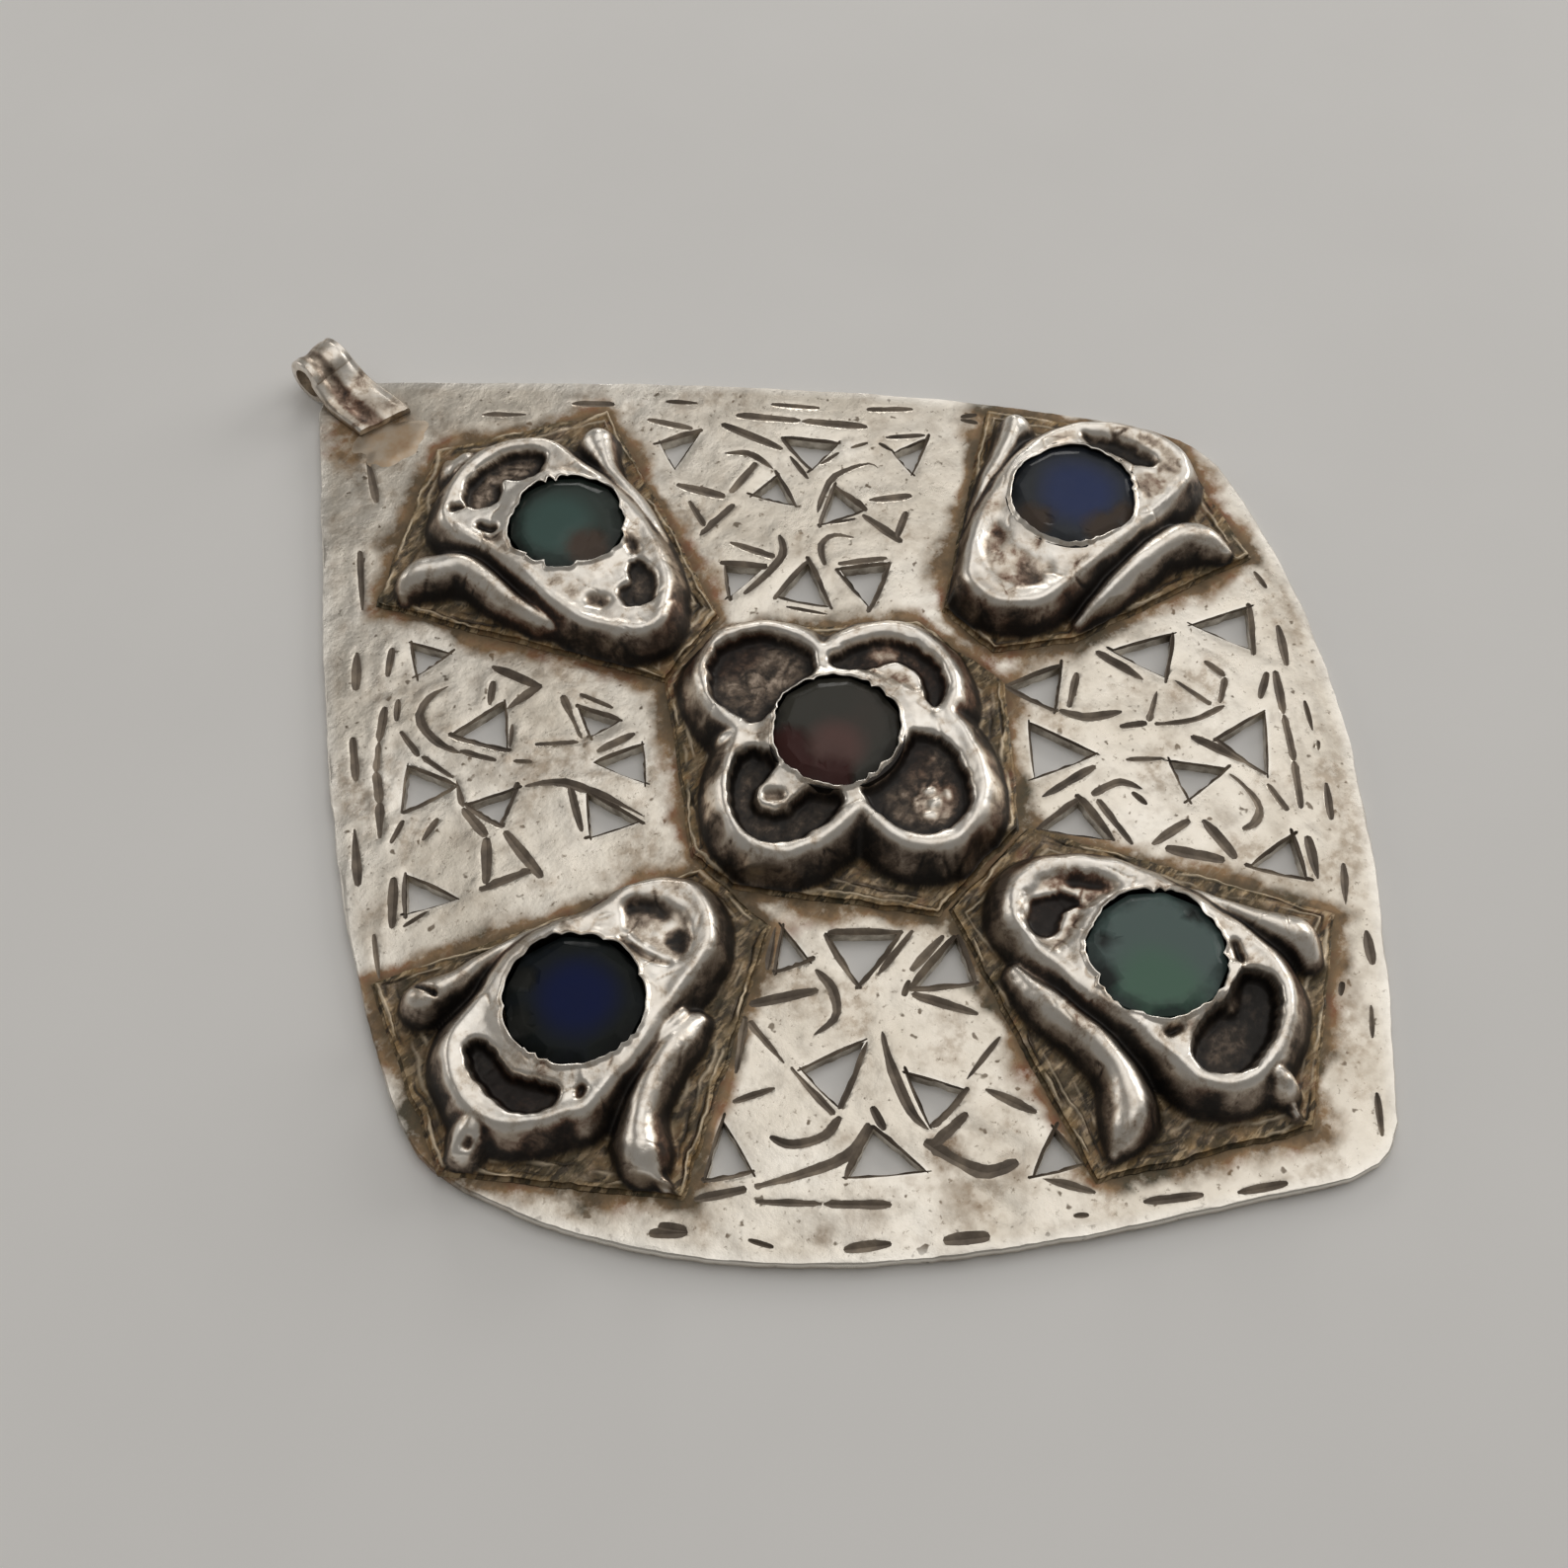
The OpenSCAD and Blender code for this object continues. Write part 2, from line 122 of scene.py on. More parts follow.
CUTS_BOTTOM_LEFT = [
    (0.5, -15.6, -6.8, -12.4, -9.1), (0.55, -16.2, -7.1, -19.1, -9), (0.55, -16.3, -7.4, -16.9, -10.6),
    (0.45, -20.4, -9.9, -18.2, -11.1), (0.5, -20.5, -12.65, -20.1, -13.85, -18.65, -14.8, -17.2, -14.7),
    (0.5, -16.8, -10.8, -17.35, -14.5), (0.5, -25.7, -12, -23.4, -13.7),
    (0.6, -23.1, -13.9, -20.6, -15.5, -18.4, -16.5, -16.5, -16.1), (0.5, -23.7, -14.4, -21.4, -17.2),
    (0.5, -21.5, -17.1, -19.1, -19.9), (0.4, -15.7, -15.6, -16.3, -17),
    (0.5, -12, -13.2, -13.2, -14.8, -14.5, -17.2, -14.7, -18.7), (0.5, -22.6, -19.5, -20.7, -21.2),
    (0.35, -25.4, -15.5, -24.8, -16.8), (0.6, -18.9, -23, -17.1, -24.7), (0.55, -15.5, -19.4, -12.6, -19.6),
    (0.8, -15.4, -18.9, -14.7, -22.2, -13, -23.3), (0.5, -11, -19.4, -10.2, -22.4),
    (0.5, -11.3, -18.4, -8, -18.2), (0.5, -9.3, -13, -7.8, -16.6), (0.5, -8.3, -12.1, -5.3, -12.1),
    (0.35, -9.7, -12.8, -8.7, -12.4), (0.45, -9.7, -10.9, -6.15, -10.6),
    (0.5, -11.6, -8.1, -11.9, -9.6, -13, -10.8, -14.7, -10.6), (0.5, -13.4, -6.2, -11, -4.7),
    (0.35, -9.4, -7.1, -10, -8.7), (0.5, -13, -24.6, -11.7, -27.4), (0.35, -13.5, -27.2, -12.9, -27.8),
    (0.5, -27.9, -11.6, -27.1, -12.9),
]
CUTS_BORDER = [
    (0.5, -3, 37.25, -5.2, 33.9), (0.5, -8.4, 32, -11.5, 28.4), (0.5, 4.25, 34.3, 6.25, 32),
    (0.5, 8.75, 30.55, 10.6, 28.25), (0.5, -10.6, -29.4, -8.1, -31.6), (0.5, -7, -32.75, -4.75, -34.5),
    (0.4, 2.5, -35.1, 0.5, -36.75), (0.4, 6.6, -32.1, 4.9, -33.3), (0.35, 6.7, -30.2, 5.9, -30.6),
    (0.5, 10.25, -29.4, 8.6, -30.9), (0.5, 13, -26.1, 10.75, -27.75), (0.5, -26, 11.75, -27.75, 9.4),
    (0.5, -28.5, -11.5, -27.1, -13), (0.35, 24.25, 10.6, 24.75, 9.5),
]
ALL_CUTS = CUTS_TOP_LEFT + CUTS_TOP_RIGHT + CUTS_BOTTOM_RIGHT + CUTS_BOTTOM_LEFT + CUTS_BORDER

# Old knocks in the sheet: a line from x, y to x, y, its half width and its depth
KNOCKS = [
    (-13.9, -18.9, -12.6, -22.8, 0.75, 0.15), (-15.6, -20, -15.6, -24.6, 0.8, 0.15),
    (-11.2, -21, -9.9, -22.4, 0.7, 0.1), (-19.6, -21.8, -17.4, -23.6, 0.9, 0.08),
    (-24.4, -16.9, -22.6, -18.9, 0.9, 0.07), (2.5, 33.6, 5.2, 30.4, 0.9, 0.07),
    (23, 14.6, 24.6, 12, 0.8, 0.07), (19.6, -21.4, 21.4, -19.4, 0.9, 0.07),
]

# Brown smudges on the sheet, also serving as painted shade on the old knocks: x, y, radius and strength
SHEET_SOIL_AND_KNOCK_SHADE = [
    (-15, -20.1, 1.5, 0.8), (-13.4, -23.2, 1.2, 0.5), (-16.6, -22.3, 1.5, 0.4), (-22.7, -18.3, 0.8, 0.6),
    (-20.9, -19.3, 1.6, 0.35), (-9.6, -20.9, 1, 0.35), (-19.4, -24, 1.2, 0.25), (4.6, 32.3, 1.6, 0.35),
    (1.9, 35, 1.4, 0.45), (13.6, 24.8, 1.2, 0.3), (-9.2, 30.4, 1.1, 0.3), (25.6, 9, 1.2, 0.3),
    (20.6, 14.4, 0.9, 0.3), (15.6, -12.8, 1, 0.3), (-26.5, -12.6, 1.3, 0.3), (-24.4, 12.4, 1.3, 0.3),
    (6.4, -30.8, 1.2, 0.35), (10.9, -19.4, 1.1, 0.25), (-12.6, 12.6, 1.3, 0.3), (-18.6, 12.2, 1.2, 0.25),
]

# Each plaque: centre of its stone, radius of the stone and of the torn opening round it, height of its
# body at the crest and inside it, width of its outer flank, how torn its opening is, outline of its
# flange, crest of its body, ridges (x, y, half width, height), hollows (depth, width of the slope,
# outline), dents (x, y, half width, depth), bumps in the hollows (the same) and smudges (x, y, radius,
# strength, below 0 where the metal is clean)
TOP = dict(
    at=(0.3, 22.2), r=3.6, opening=3.56, rim=2.32, floor=2.2, flank=1.45, ragged=1.7,
    outline=[(0.2, 34), (-10.5, 28), (-3.1, 11.1), (2.4, 11.9), (9.6, 28)],
    crest=[(-4.3, 28.2), (-3, 29.3), (-0.7, 30.1), (1.4, 30), (3.1, 28.9), (4.2, 27.4), (4.1, 25.8),
           (4.2, 23.6), (4, 21.2), (3.4, 18.8), (2.4, 16.5), (1, 14.6), (-0.9, 13.2), (-2.3, 13.4),
           (-3.4, 14.7), (-4.1, 16.3), (-4.3, 18.2), (-4.2, 20.1), (-4, 22.6), (-4.1, 24.5), (-4.4, 26.6)],
    ridges=[
        [(-9.5, 26.7, 0.5, 1.1), (-8.5, 26.9, 1.2, 2), (-7.2, 26.4, 1.6, 2.15), (-6, 25.2, 1.5, 2.15),
         (-5.7, 23.4, 1.35, 2.1), (-5.75, 21.2, 1.2, 1.95), (-5.4, 19.2, 0.95, 1.6), (-4.9, 17.6, 0.7, 1)],
        [(6.7, 25.9, 1.45, 2.1), (5.9, 24.6, 1.1, 2), (5.2, 22.8, 0.9, 1.9), (4.7, 20.4, 0.9, 1.85),
         (3.9, 18.2, 0.8, 1.6), (3.4, 16.8, 0.5, 0.9)],
        [(-0.1, 30.6, 1.5, 2.1), (-0.9, 31, 1.2, 1.9), (-0.5, 32, 0.6, 1)],
    ],
    hollows=[
        (0.85, 0.26, [(-2.6, 28.1), (-1.3, 29.1), (0.4, 29.3), (2.1, 28.8), (3.1, 27.9), (3.1, 27.1),
                      (1.9, 26.5), (0.9, 27), (0.2, 27.8), (-0.6, 27.2), (-1.6, 26.9), (-2.3, 27.3)]),
        (0.55, 0.3, [(1.3, 17), (0.8, 15.4), (-0.5, 14.5), (-1.6, 15.3), (-1.2, 16.4), (-0.2, 16.4),
                     (0.3, 17)]),
    ],
    dents=[
        [(-3.4, 28.3, 0.35, 0.6), (-2.95, 28.1, 0.35, 0.6)],
        [(-3.2, 26.2, 0.4, 0.45), (-2.9, 25.5, 0.45, 0.5)],
        [(-2.7, 17.1, 0.8, 0.35), (-2.5, 16.7, 0.8, 0.35)],
        [(1.8, 18.7, 0.6, 0.3), (1.5, 17.7, 0.6, 0.3)],
    ],
    bumps=[],
    smudges=[(-1.5, 28.2, 1.3, -0.26), (0.8, 28.7, 1.4, -0.26), (2.4, 27.6, 1.1, -0.26),
             (4.9, 19.5, 1.6, -0.28), (4.2, 16.8, 1.6, -0.3), (2.9, 14.6, 1.4, -0.28),
             (0.2, 15.6, 1.9, 0.16), (1.9, 18.4, 0.9, 0.25), (-3.3, 25, 1, 0.25)],
)
RIGHT = dict(
    at=(22.2, 0.3), r=4, opening=3.72, rim=2.32, floor=2.2, flank=1.35, ragged=0.55,
    outline=[(31.5, -0.5), (27.2, -9.8), (15.2, -5.5), (11.4, -2.3), (11.8, 1.8), (25.8, 9.6)],
    crest=[(18.1, 3.8), (16.4, 3.2), (14.5, 2.2), (13.1, 1), (12.9, -0.7), (13.8, -2.2), (15.2, -3.1),
           (17.3, -3.4), (19.6, -3.7), (22.1, -4), (24.6, -4.1), (26.6, -4.2), (28.3, -3.9), (29.3, -2.7),
           (29.5, -1.2), (29, 0.6), (28.1, 2.3), (26.7, 3.6), (25.1, 4.4), (22.8, 4.7), (20.4, 4.4)],
    ridges=[
        [(15.8, -5.2, 0.5, 0.7), (18.2, -5.4, 1.1, 1.7), (20.8, -5.6, 1.35, 2.1), (23.2, -5.9, 1.5, 2.15),
         (24.8, -6.6, 1.6, 2.15), (25.5, -7.6, 1.3, 1.9), (25.9, -8.7, 0.7, 1)],
        [(24.9, 6.8, 1.4, 2.1), (23.1, 6.1, 1.1, 1.9), (21.1, 5.6, 0.9, 1.7), (19.2, 5.1, 0.7, 1.4),
         (17, 4.4, 0.5, 0.8)],
        [(28.8, -0.9, 1.3, 2.1), (29.4, -2.2, 1.2, 1.9)],
    ],
    hollows=[
        (0.62, 0.7, [(26.6, 2.8), (27.6, 1.5), (28.1, -0.2), (27.9, -1.9), (27.1, -1.6), (26.6, 0),
                     (26.3, 1.6)]),
        (0.22, 0.8, [(17.8, 2.9), (15.9, 2.4), (14.4, 0.6), (14.5, -1.4), (16, -2.4), (17.5, -1.8),
                     (17, 0.4)]),
    ],
    dents=[
        [(17.2, 2.2, 0.6, 0.1), (16.2, 1.6, 0.8, 0.12)],
        [(16.2, -0.6, 0.8, 0.12), (15.8, -1.5, 1, 0.14)],
    ],
    bumps=[],
    smudges=[(16.2, 1.4, 1.7, 0.12), (15.9, -1, 2, 0.16), (28.4, -2.6, 1.5, 0.22), (25.9, -2.8, 1.3, 0.34),
             (26.3, 3.9, 1.6, 0.18), (29.2, -0.5, 1.5, 0.24), (28.6, 1.7, 1.4, 0.2)],
)
BOTTOM = dict(
    at=(0.15, -22.1), r=3.85, opening=3.8, rim=2.32, floor=2.2, flank=1.45, ragged=1.3,
    outline=[(-1.5, -33.7), (9.7, -27.5), (3, -11.5), (-3.9, -11.5), (-11.2, -27)],
    crest=[(-2.9, -14.7), (-1.4, -13.7), (0.4, -13.9), (1.9, -15.2), (3.1, -16.9), (3.6, -18.5),
           (4.1, -20.3), (4.3, -22.5), (4.3, -24.8), (4.2, -26.6), (3.5, -28.1), (2.3, -29.3), (0.5, -30),
           (-1.5, -30.2), (-3.2, -29.5), (-4.1, -28.1), (-4, -26.3), (-3.9, -24.7), (-4, -22.9),
           (-4.1, -20.9), (-3.9, -19), (-3.7, -17.1)],
    ridges=[
        [(-5.1, -16.9, 0.9, 1.3), (-5.5, -19.2, 1.4, 1.95), (-5.6, -21.6, 1.35, 2.1),
         (-5.9, -23.6, 1.4, 2.15), (-6.5, -25, 1.5, 2.15), (-7.5, -26.2, 1.7, 2.15),
         (-8.5, -26.6, 1.3, 1.9), (-9.8, -26.9, 0.5, 0.8)],
        [(4.4, -19, 0.5, 1), (4.8, -21, 0.7, 1.6), (5.2, -22.8, 0.9, 1.9), (5.7, -24.7, 1.2, 2.05),
         (6.3, -26.2, 1.5, 2.15), (6.5, -27, 1.5, 2.1), (6.2, -28, 1, 1.4)],
        [(-1, -30.5, 0.8, 2), (-1.2, -31.3, 1.1, 2.25), (-1.3, -31.7, 0.9, 1.9)],
        [(-1.4, -31.9, 0.35, 1.1), (-1.8, -32.8, 0.35, 0.7)],
    ],
    hollows=[
        (1.3, 0.32, [(-2.8, -26.8), (-1.2, -26.3), (0.5, -26.5), (1.6, -26.2), (2.8, -26.4), (3.1, -27.4),
                     (2.1, -28.6), (0.4, -29.3), (-1.6, -29.5), (-2.9, -28.7), (-3.3, -27.6)]),
        (0.7, 0.3, [(-2.2, -15.3), (-1.2, -15.1), (0, -16.2), (-0.1, -17), (-1.1, -16.7), (-2, -17.1),
                    (-2.8, -16.9), (-3, -16)]),
        (0.28, 0.55, [(-3.2, -17.8), (-3, -15.5), (-1.5, -14.5), (0.4, -14.9), (2.3, -17), (2, -18.2),
                      (0.3, -17.6), (-1.5, -17.9)]),
    ],
    dents=[
        [(0.8, -15.9, 0.5, 0.25), (1.7, -17.3, 0.4, 0.25)],
        [(3.4, -24.8, 0.35, 0.5), (2.9, -25.6, 0.35, 0.5)],
        [(-3.1, -25.3, 0.3, 0.5), (-2.5, -25.5, 0.3, 0.5)],
    ],
    bumps=[[(2.2, -25.9, 0.6, 0.5), (1.3, -26.1, 0.8, 0.55), (0.5, -26.7, 0.6, 0.4)]],
    smudges=[(-4, -14.8, 1.8, -0.32), (-4.8, -17.2, 1.5, -0.25), (0.9, -16.2, 1.8, 0.26),
             (-1.6, -16.2, 1.6, 0.22), (4.5, -20.4, 1.2, 0.3), (1.4, -26.2, 1.3, -0.34),
             (-1, -27.6, 1.2, -0.06)],
)
LEFT = dict(
    at=(-22.3, -0.5), r=3.9, opening=3.8, rim=2.32, floor=2.2, flank=1.4, ragged=0.9,
    outline=[(-33.2, -1.1), (-28.2, 9.4), (-11.2, 0.7), (-11.4, -4.5), (-26, -11.5)],
    crest=[(-17.4, 2.2), (-15.7, 2), (-14.2, 1), (-13.3, -0.4), (-13.7, -2.1), (-15, -3.4), (-16.5, -3.9),
           (-18.2, -4.1), (-19.8, -4.4), (-21.3, -4.9), (-22.7, -5.1), (-24.4, -5), (-26.1, -5.1),
           (-27.1, -4.6), (-28.4, -3.8), (-29.6, -2.6), (-30.2, -1.3), (-30.1, -0.1), (-29.7, 1.1),
           (-28.9, 2.4), (-27.8, 3.1), (-26.5, 3.2), (-25, 3.4), (-23.8, 3.8), (-22.3, 3.9), (-20.7, 3.7),
           (-19.1, 2.9)],
    ridges=[
        [(-18.5, -5.8, 0.9, 1.3), (-20.3, -5.9, 1.35, 1.95), (-22.5, -6.4, 1.35, 2.1),
         (-24.1, -7.1, 1.4, 2.15), (-25.3, -8, 1.6, 2.15), (-25.9, -8.8, 1.6, 2.15),
         (-26.2, -9.9, 0.6, 1.1), (-26.2, -10.7, 0.45, 0.8)],
        [(-27.4, 6, 1.5, 2.1), (-26.5, 5.7, 1.4, 2.1), (-25.2, 5.3, 1.1, 2), (-23.3, 5, 0.85, 1.9),
         (-21.2, 4.5, 0.7, 1.7), (-19.2, 3.7, 0.6, 1.3), (-17.6, 2.9, 0.4, 0.8)],
        [(-29.8, -0.9, 1.5, 2.15), (-30.9, -1.3, 1.45, 2.1), (-31.9, -1.6, 1.05, 1.5)],
        [(-24.9, -3.6, 0.5, 2.55), (-25.3, -4.2, 0.5, 2.4)],
        [(-18.9, -5.1, 0.8, 1.7), (-19.6, -5.2, 1, 1.95), (-20.4, -5.2, 1, 1.95), (-21.2, -5.4, 0.7, 1.7)],
    ],
    hollows=[
        (1.05, 0.32, [(-28.1, 1.7), (-27.4, 1.9), (-27.1, 1), (-27.5, -0.6), (-26.9, -2.1), (-26.4, -3.2),
                      (-27.2, -3.6), (-28.2, -3.1), (-28.9, -2), (-28.9, -0.7), (-28.7, 0.5)]),
        (0.26, 0.55, [(-17.2, 0.8), (-16, 1.4), (-14.8, 0.2), (-14.6, -1.4), (-15.5, -2.6), (-16.9, -3),
                      (-17.4, -1.2)]),
    ],
    dents=[
        [(-16.4, 1.4, 0.5, 0.16), (-15.7, 0.7, 0.75, 0.18), (-15.4, -0.5, 0.7, 0.18)],
        [(-16.2, -2.1, 0.7, 0.2), (-15.9, -2, 0.7, 0.2)],
        [(-25.9, -4.4, 0.3, 0.5), (-25.6, -4.3, 0.3, 0.5)],
        [(-31.6, -1.75, 0.38, 0.5), (-31.4, -1.7, 0.35, 0.5)],
        [(-27.1, 6.8, 0.17, 0.8), (-26.8, 5.5, 0.17, 0.8)],
        [(-18, 0.1, 0.25, 0.25), (-17.9, -1.5, 0.3, 0.3), (-17.3, -2.7, 0.25, 0.2)],
    ],
    bumps=[],
    smudges=[(-19, -5, 1.1, -0.1), (-20.4, -5.2, 1.2, -0.2), (-15.7, 0.5, 1.5, 0.38),
             (-15.9, -2.3, 1, 0.35), (-18.3, -0.8, 1, 0.3), (-26.6, 5, 1.2, 0.3)],
)
CENTER = dict(
    at=(-0.35, 0.05), r=3.8, opening=3.66, rim=2.34, floor=2.2, flank=1.65, ragged=0.95,
    outline=[(-3.2, 10.8), (-10.8, 1.7), (-10.8, -1.3), (-4.6, -11), (2.6, -11), (9.9, -4.2), (9.9, 2.4),
             (1.6, 10.8)],
    crest=[(-2.2, 8.8), (-0.1, 9.6), (1.6, 8.9), (3.1, 7.3), (3.6, 5.7), (3.6, 4.4), (4.9, 4.1), (6.7, 3.2),
           (7.8, 1.7), (8, -0.3), (7.2, -2.4), (6.1, -3.5), (5, -4), (4.6, -5.3), (3.6, -7.2), (2.3, -8.7),
           (0.4, -9.5), (-1.3, -9.5), (-2.7, -8.6), (-3.3, -7.2), (-3.3, -5.3), (-3.2, -4.3), (-4.4, -4.1),
           (-6.4, -3.8), (-7.9, -3.1), (-8.9, -1.7), (-8.9, 0.1), (-8, 1.7), (-6.5, 3.1), (-5, 3.8),
           (-4, 4.5), (-3.7, 6), (-3.2, 7.5)],
    ridges=[
        [(4, 3.9, 1.1, 2.36), (4.5, 4.2, 1.2, 2.1)],
        [(4.4, -3.6, 1.3, 2.38), (4.9, -4.1, 1.2, 2.1)],
        [(-4, 4.2, 1.3, 2.36), (-4.5, 4.6, 1.2, 2.1)],
    ],
    hollows=[
        (0.95, 0.32, [(-2.9, 7.4), (-0.8, 9), (1.2, 8.6), (2.5, 7.3), (3, 5.5), (2.3, 4), (0.4, 4),
                      (-1.6, 3.9), (-2.8, 4.2), (-3.1, 5.2), (-3.2, 6.3)]),
        (0.85, 0.35, [(3.3, 3.6), (5.2, 3.2), (6.7, 2), (7.3, 0.3), (7, -1.7), (5.9, -2.8), (4.9, -3),
                      (5.2, -2), (6, -0.9), (5.9, 0.7), (4.6, 1.5), (3.4, 2.5)]),
        (0.3, 0.6, [(3.6, 2.6), (5.4, 1.6), (6.2, 0.2), (5.8, -1.6), (4.8, -1.4), (4.4, 0.4)]),
        (1.05, 0.35, [(-3.9, 2.2), (-4.5, 3.2), (-6, 2.9), (-7.6, 1.6), (-8.5, -0.1), (-8.2, -1.6),
                      (-6.9, -2.8), (-5.1, -3.3), (-3.9, -3.2), (-3.2, -2.6), (-4.1, -1.4), (-5.3, -1.1),
                      (-6.2, -1), (-6.8, -0.1), (-6.6, 0.8), (-5.3, 1.2), (-4.2, 1.3)]),
        (0.9, 0.4, [(-1.9, -3.2), (0, -3.5), (1.5, -3.6), (2.6, -3.4), (3.2, -4.6), (3, -6), (2.2, -7.4),
                    (1, -8.6), (-0.8, -8.7), (-2.1, -7.9), (-2.7, -6.4), (-2.6, -4.6)]),
    ],
    dents=[[(-6, 0.2, 0.55, 0.4), (-5.6, -0.2, 0.5, 0.35)]],
    bumps=[
        [(0.4, -6, 0.45, 0.2), (0.6, -6.3, 0.4, 0.16)],
        [(0, -6.9, 0.55, 0.22), (0.3, -7, 0.4, 0.2)],
        [(-0.9, -7.1, 0.45, 0.18), (-0.6, -7.3, 0.4, 0.16)],
        [(0.9, -7.3, 0.35, 0.14), (1.1, -7.1, 0.3, 0.12)],
        [(-0.7, -6.2, 0.4, 0.12), (-0.5, -6, 0.3, 0.12)],
    ],
    smudges=[(0.2, -6.9, 1.7, -0.34), (-1, 7.6, 1.4, -0.1), (0.5, 5.5, 2.3, -0.12), (-4, 7.5, 1.7, -0.3),
             (-8.5, 3.2, 1.9, -0.3), (-10, 0.8, 1.5, -0.22), (5.9, 1.6, 1.2, -0.35), (-3.4, -6.2, 1.5, 0.2)],
)
# Scraped lines along a flange: distance from its edge, half width, height (below 0 for a groove)
FLANGE_LINES = [
    (0.2, 0.11, 1), (0.42, 0.09, -0.9), (0.78, 0.12, 0.8), (1.08, 0.1, -0.8), (1.6, 0.15, 0.7),
    (2.1, 0.13, -0.7), (2.7, 0.15, 0.6),
]
PLAQUES = {"plaque_top": TOP, "plaque_right": RIGHT, "plaque_bottom": BOTTOM, "plaque_left": LEFT,
           "plaque_center": CENTER}


# Small maths shared by the pieces

def ease(t):
    """0 to 1 with a soft start and a soft end."""
    u = np.clip(t, 0.0, 1.0)
    return u * u * (3 - 2 * u)


def ripple(x, y, size, seed):
    """Smooth uneven ground between about -1 and 1, with bumps of about the given size."""
    rng = np.random.default_rng(seed)
    total = np.zeros_like(np.asarray(x, float))
    for _ in range(9):
        turn, phase, grow = rng.uniform(0, 2 * math.pi), rng.uniform(0, 2 * math.pi), rng.uniform(0.6, 1.7)
        wave = 2 * math.pi * grow / size
        total = total + np.sin((x * math.cos(turn) + y * math.sin(turn)) * wave + phase)
    return total / 3.2


def spots(x, y, rows, fine):
    """Adds up ragged spots of x, y, radius and strength; fine is the size of their smallest rags."""
    ragged = ripple(x, y, 1.1, 65) + ripple(x, y, fine, 66)
    total = np.zeros(x.shape)
    for spot_x, spot_y, size, strength in rows:
        spot = np.clip(1 - np.hypot(x - spot_x, y - spot_y) / size, 0, 1)
        total += strength * ease(spot * 1.8 + 0.45 * spot * ragged)
    return total


def smooth_path(points, steps, closed=False):
    """Points along a smooth curve through the given ones."""
    p = np.asarray(points, float)
    n = len(p)
    out = []
    for i in range(n if closed else n - 1):
        a, b, c, d = [p[(i + k) % n] if closed else p[min(max(i + k, 0), n - 1)] for k in (-1, 0, 1, 2)]
        for j in range(steps):
            t = j / steps
            out.append(0.5 * (2 * b + (c - a) * t + (2 * a - 5 * b + 4 * c - d) * t * t
                              + (3 * b - a - 3 * c + d) * t * t * t))
    if not closed:
        out.append(p[-1])
    return np.array(out)


def steps_along(path):
    """Distance of each point of a path from its start."""
    return np.concatenate([[0], np.cumsum(np.linalg.norm(np.diff(path, axis=0), axis=1))])


def places_along(path, steps, at):
    """The points of a path at the distances at from its start."""
    return np.stack([np.interp(at, steps, path[:, i]) for i in (0, 1)], 1)


def path_distance(x, y, path):
    best = np.full(x.shape, 1e9)
    for a, b in zip(path[:-1], path[1:]):
        run = b - a
        t = np.clip(((x - a[0]) * run[0] + (y - a[1]) * run[1]) / max(run @ run, 1e-9), 0, 1)
        best = np.minimum(best, (x - a[0] - t * run[0]) ** 2 + (y - a[1] - t * run[1]) ** 2)
    return np.sqrt(best)


def edge_distance(x, y, loop):
    """Distance to a closed outline, positive inside it."""
    inside = np.zeros(x.shape, bool)
    for a, b in zip(loop, np.roll(loop, -1, axis=0)):
        if a[1] != b[1]:
            crosses = (a[1] > y) != (b[1] > y)
            inside ^= crosses & (x < a[0] + (y - a[1]) * (b[0] - a[0]) / (b[1] - a[1]))
    return path_distance(x, y, np.vstack([loop, loop[:1]])) * np.where(inside, 1, -1)


def ridge_level(x, y, rows, power):
    """Profile 0 to 1 and height of a round ridge through rows of x, y, half width, height."""
    path = smooth_path(rows, 5)
    level, height = np.zeros(x.shape), np.zeros(x.shape)
    for a, b in zip(path[:-1], path[1:]):
        wide = max(a[2], b[2], 0.05) + 0.25
        low, high = np.minimum(a, b)[:2] - wide, np.maximum(a, b)[:2] + wide
        over = np.flatnonzero(((x > low[0]) & (x < high[0])).any(axis=1))
        down = np.flatnonzero(((y > low[1]) & (y < high[1])).any(axis=0))
        if not len(over) or not len(down):
            continue
        part = (slice(over[0], over[-1] + 1), slice(down[0], down[-1] + 1))
        px, py = x[part], y[part]
        run = b - a
        length = max(run[0] ** 2 + run[1] ** 2, 1e-9)
        t = np.clip(((px - a[0]) * run[0] + (py - a[1]) * run[1]) / length, 0, 1)
        gap = np.hypot(px - a[0] - t * run[0], py - a[1] - t * run[1])
        g = np.clip(gap / np.maximum(a[2] + t * run[2], 0.05), 0, 1)
        height[part] = np.maximum(height[part], (1 - g * g) ** power * (a[3] + t * run[3]))
        level[part] = np.maximum(level[part], 1 - g)
    return level, height


def soft_max(a, b, blend):
    """The larger of two heights, with a fillet where they meet."""
    fillet = np.sqrt((a - b) ** 2 + blend * blend) - blend * np.exp(-np.abs(a - b) / blend)
    return 0.5 * (a + b + fillet)


def blur(grid, reach):
    """Averages a raster over about reach cells, three passes each way."""
    for _ in range(3):
        for axis in (0, 1):
            pad = [(0, 0), (0, 0)]
            pad[axis] = (reach + 1, reach)
            sums = np.cumsum(np.pad(grid, pad, mode="edge"), axis=axis)
            cells, size = 2 * reach + 1, grid.shape[axis]
            grid = (np.take(sums, range(cells, cells + size), axis=axis)
                    - np.take(sums, range(size), axis=axis)) / cells
    return grid


# Meshes

def new_piece(name, bm):
    mesh = bpy.data.meshes.new(name)
    bm.to_mesh(mesh)
    bm.free()
    piece = bpy.data.objects.new(name, mesh)
    bpy.context.scene.collection.objects.link(piece)
    return piece


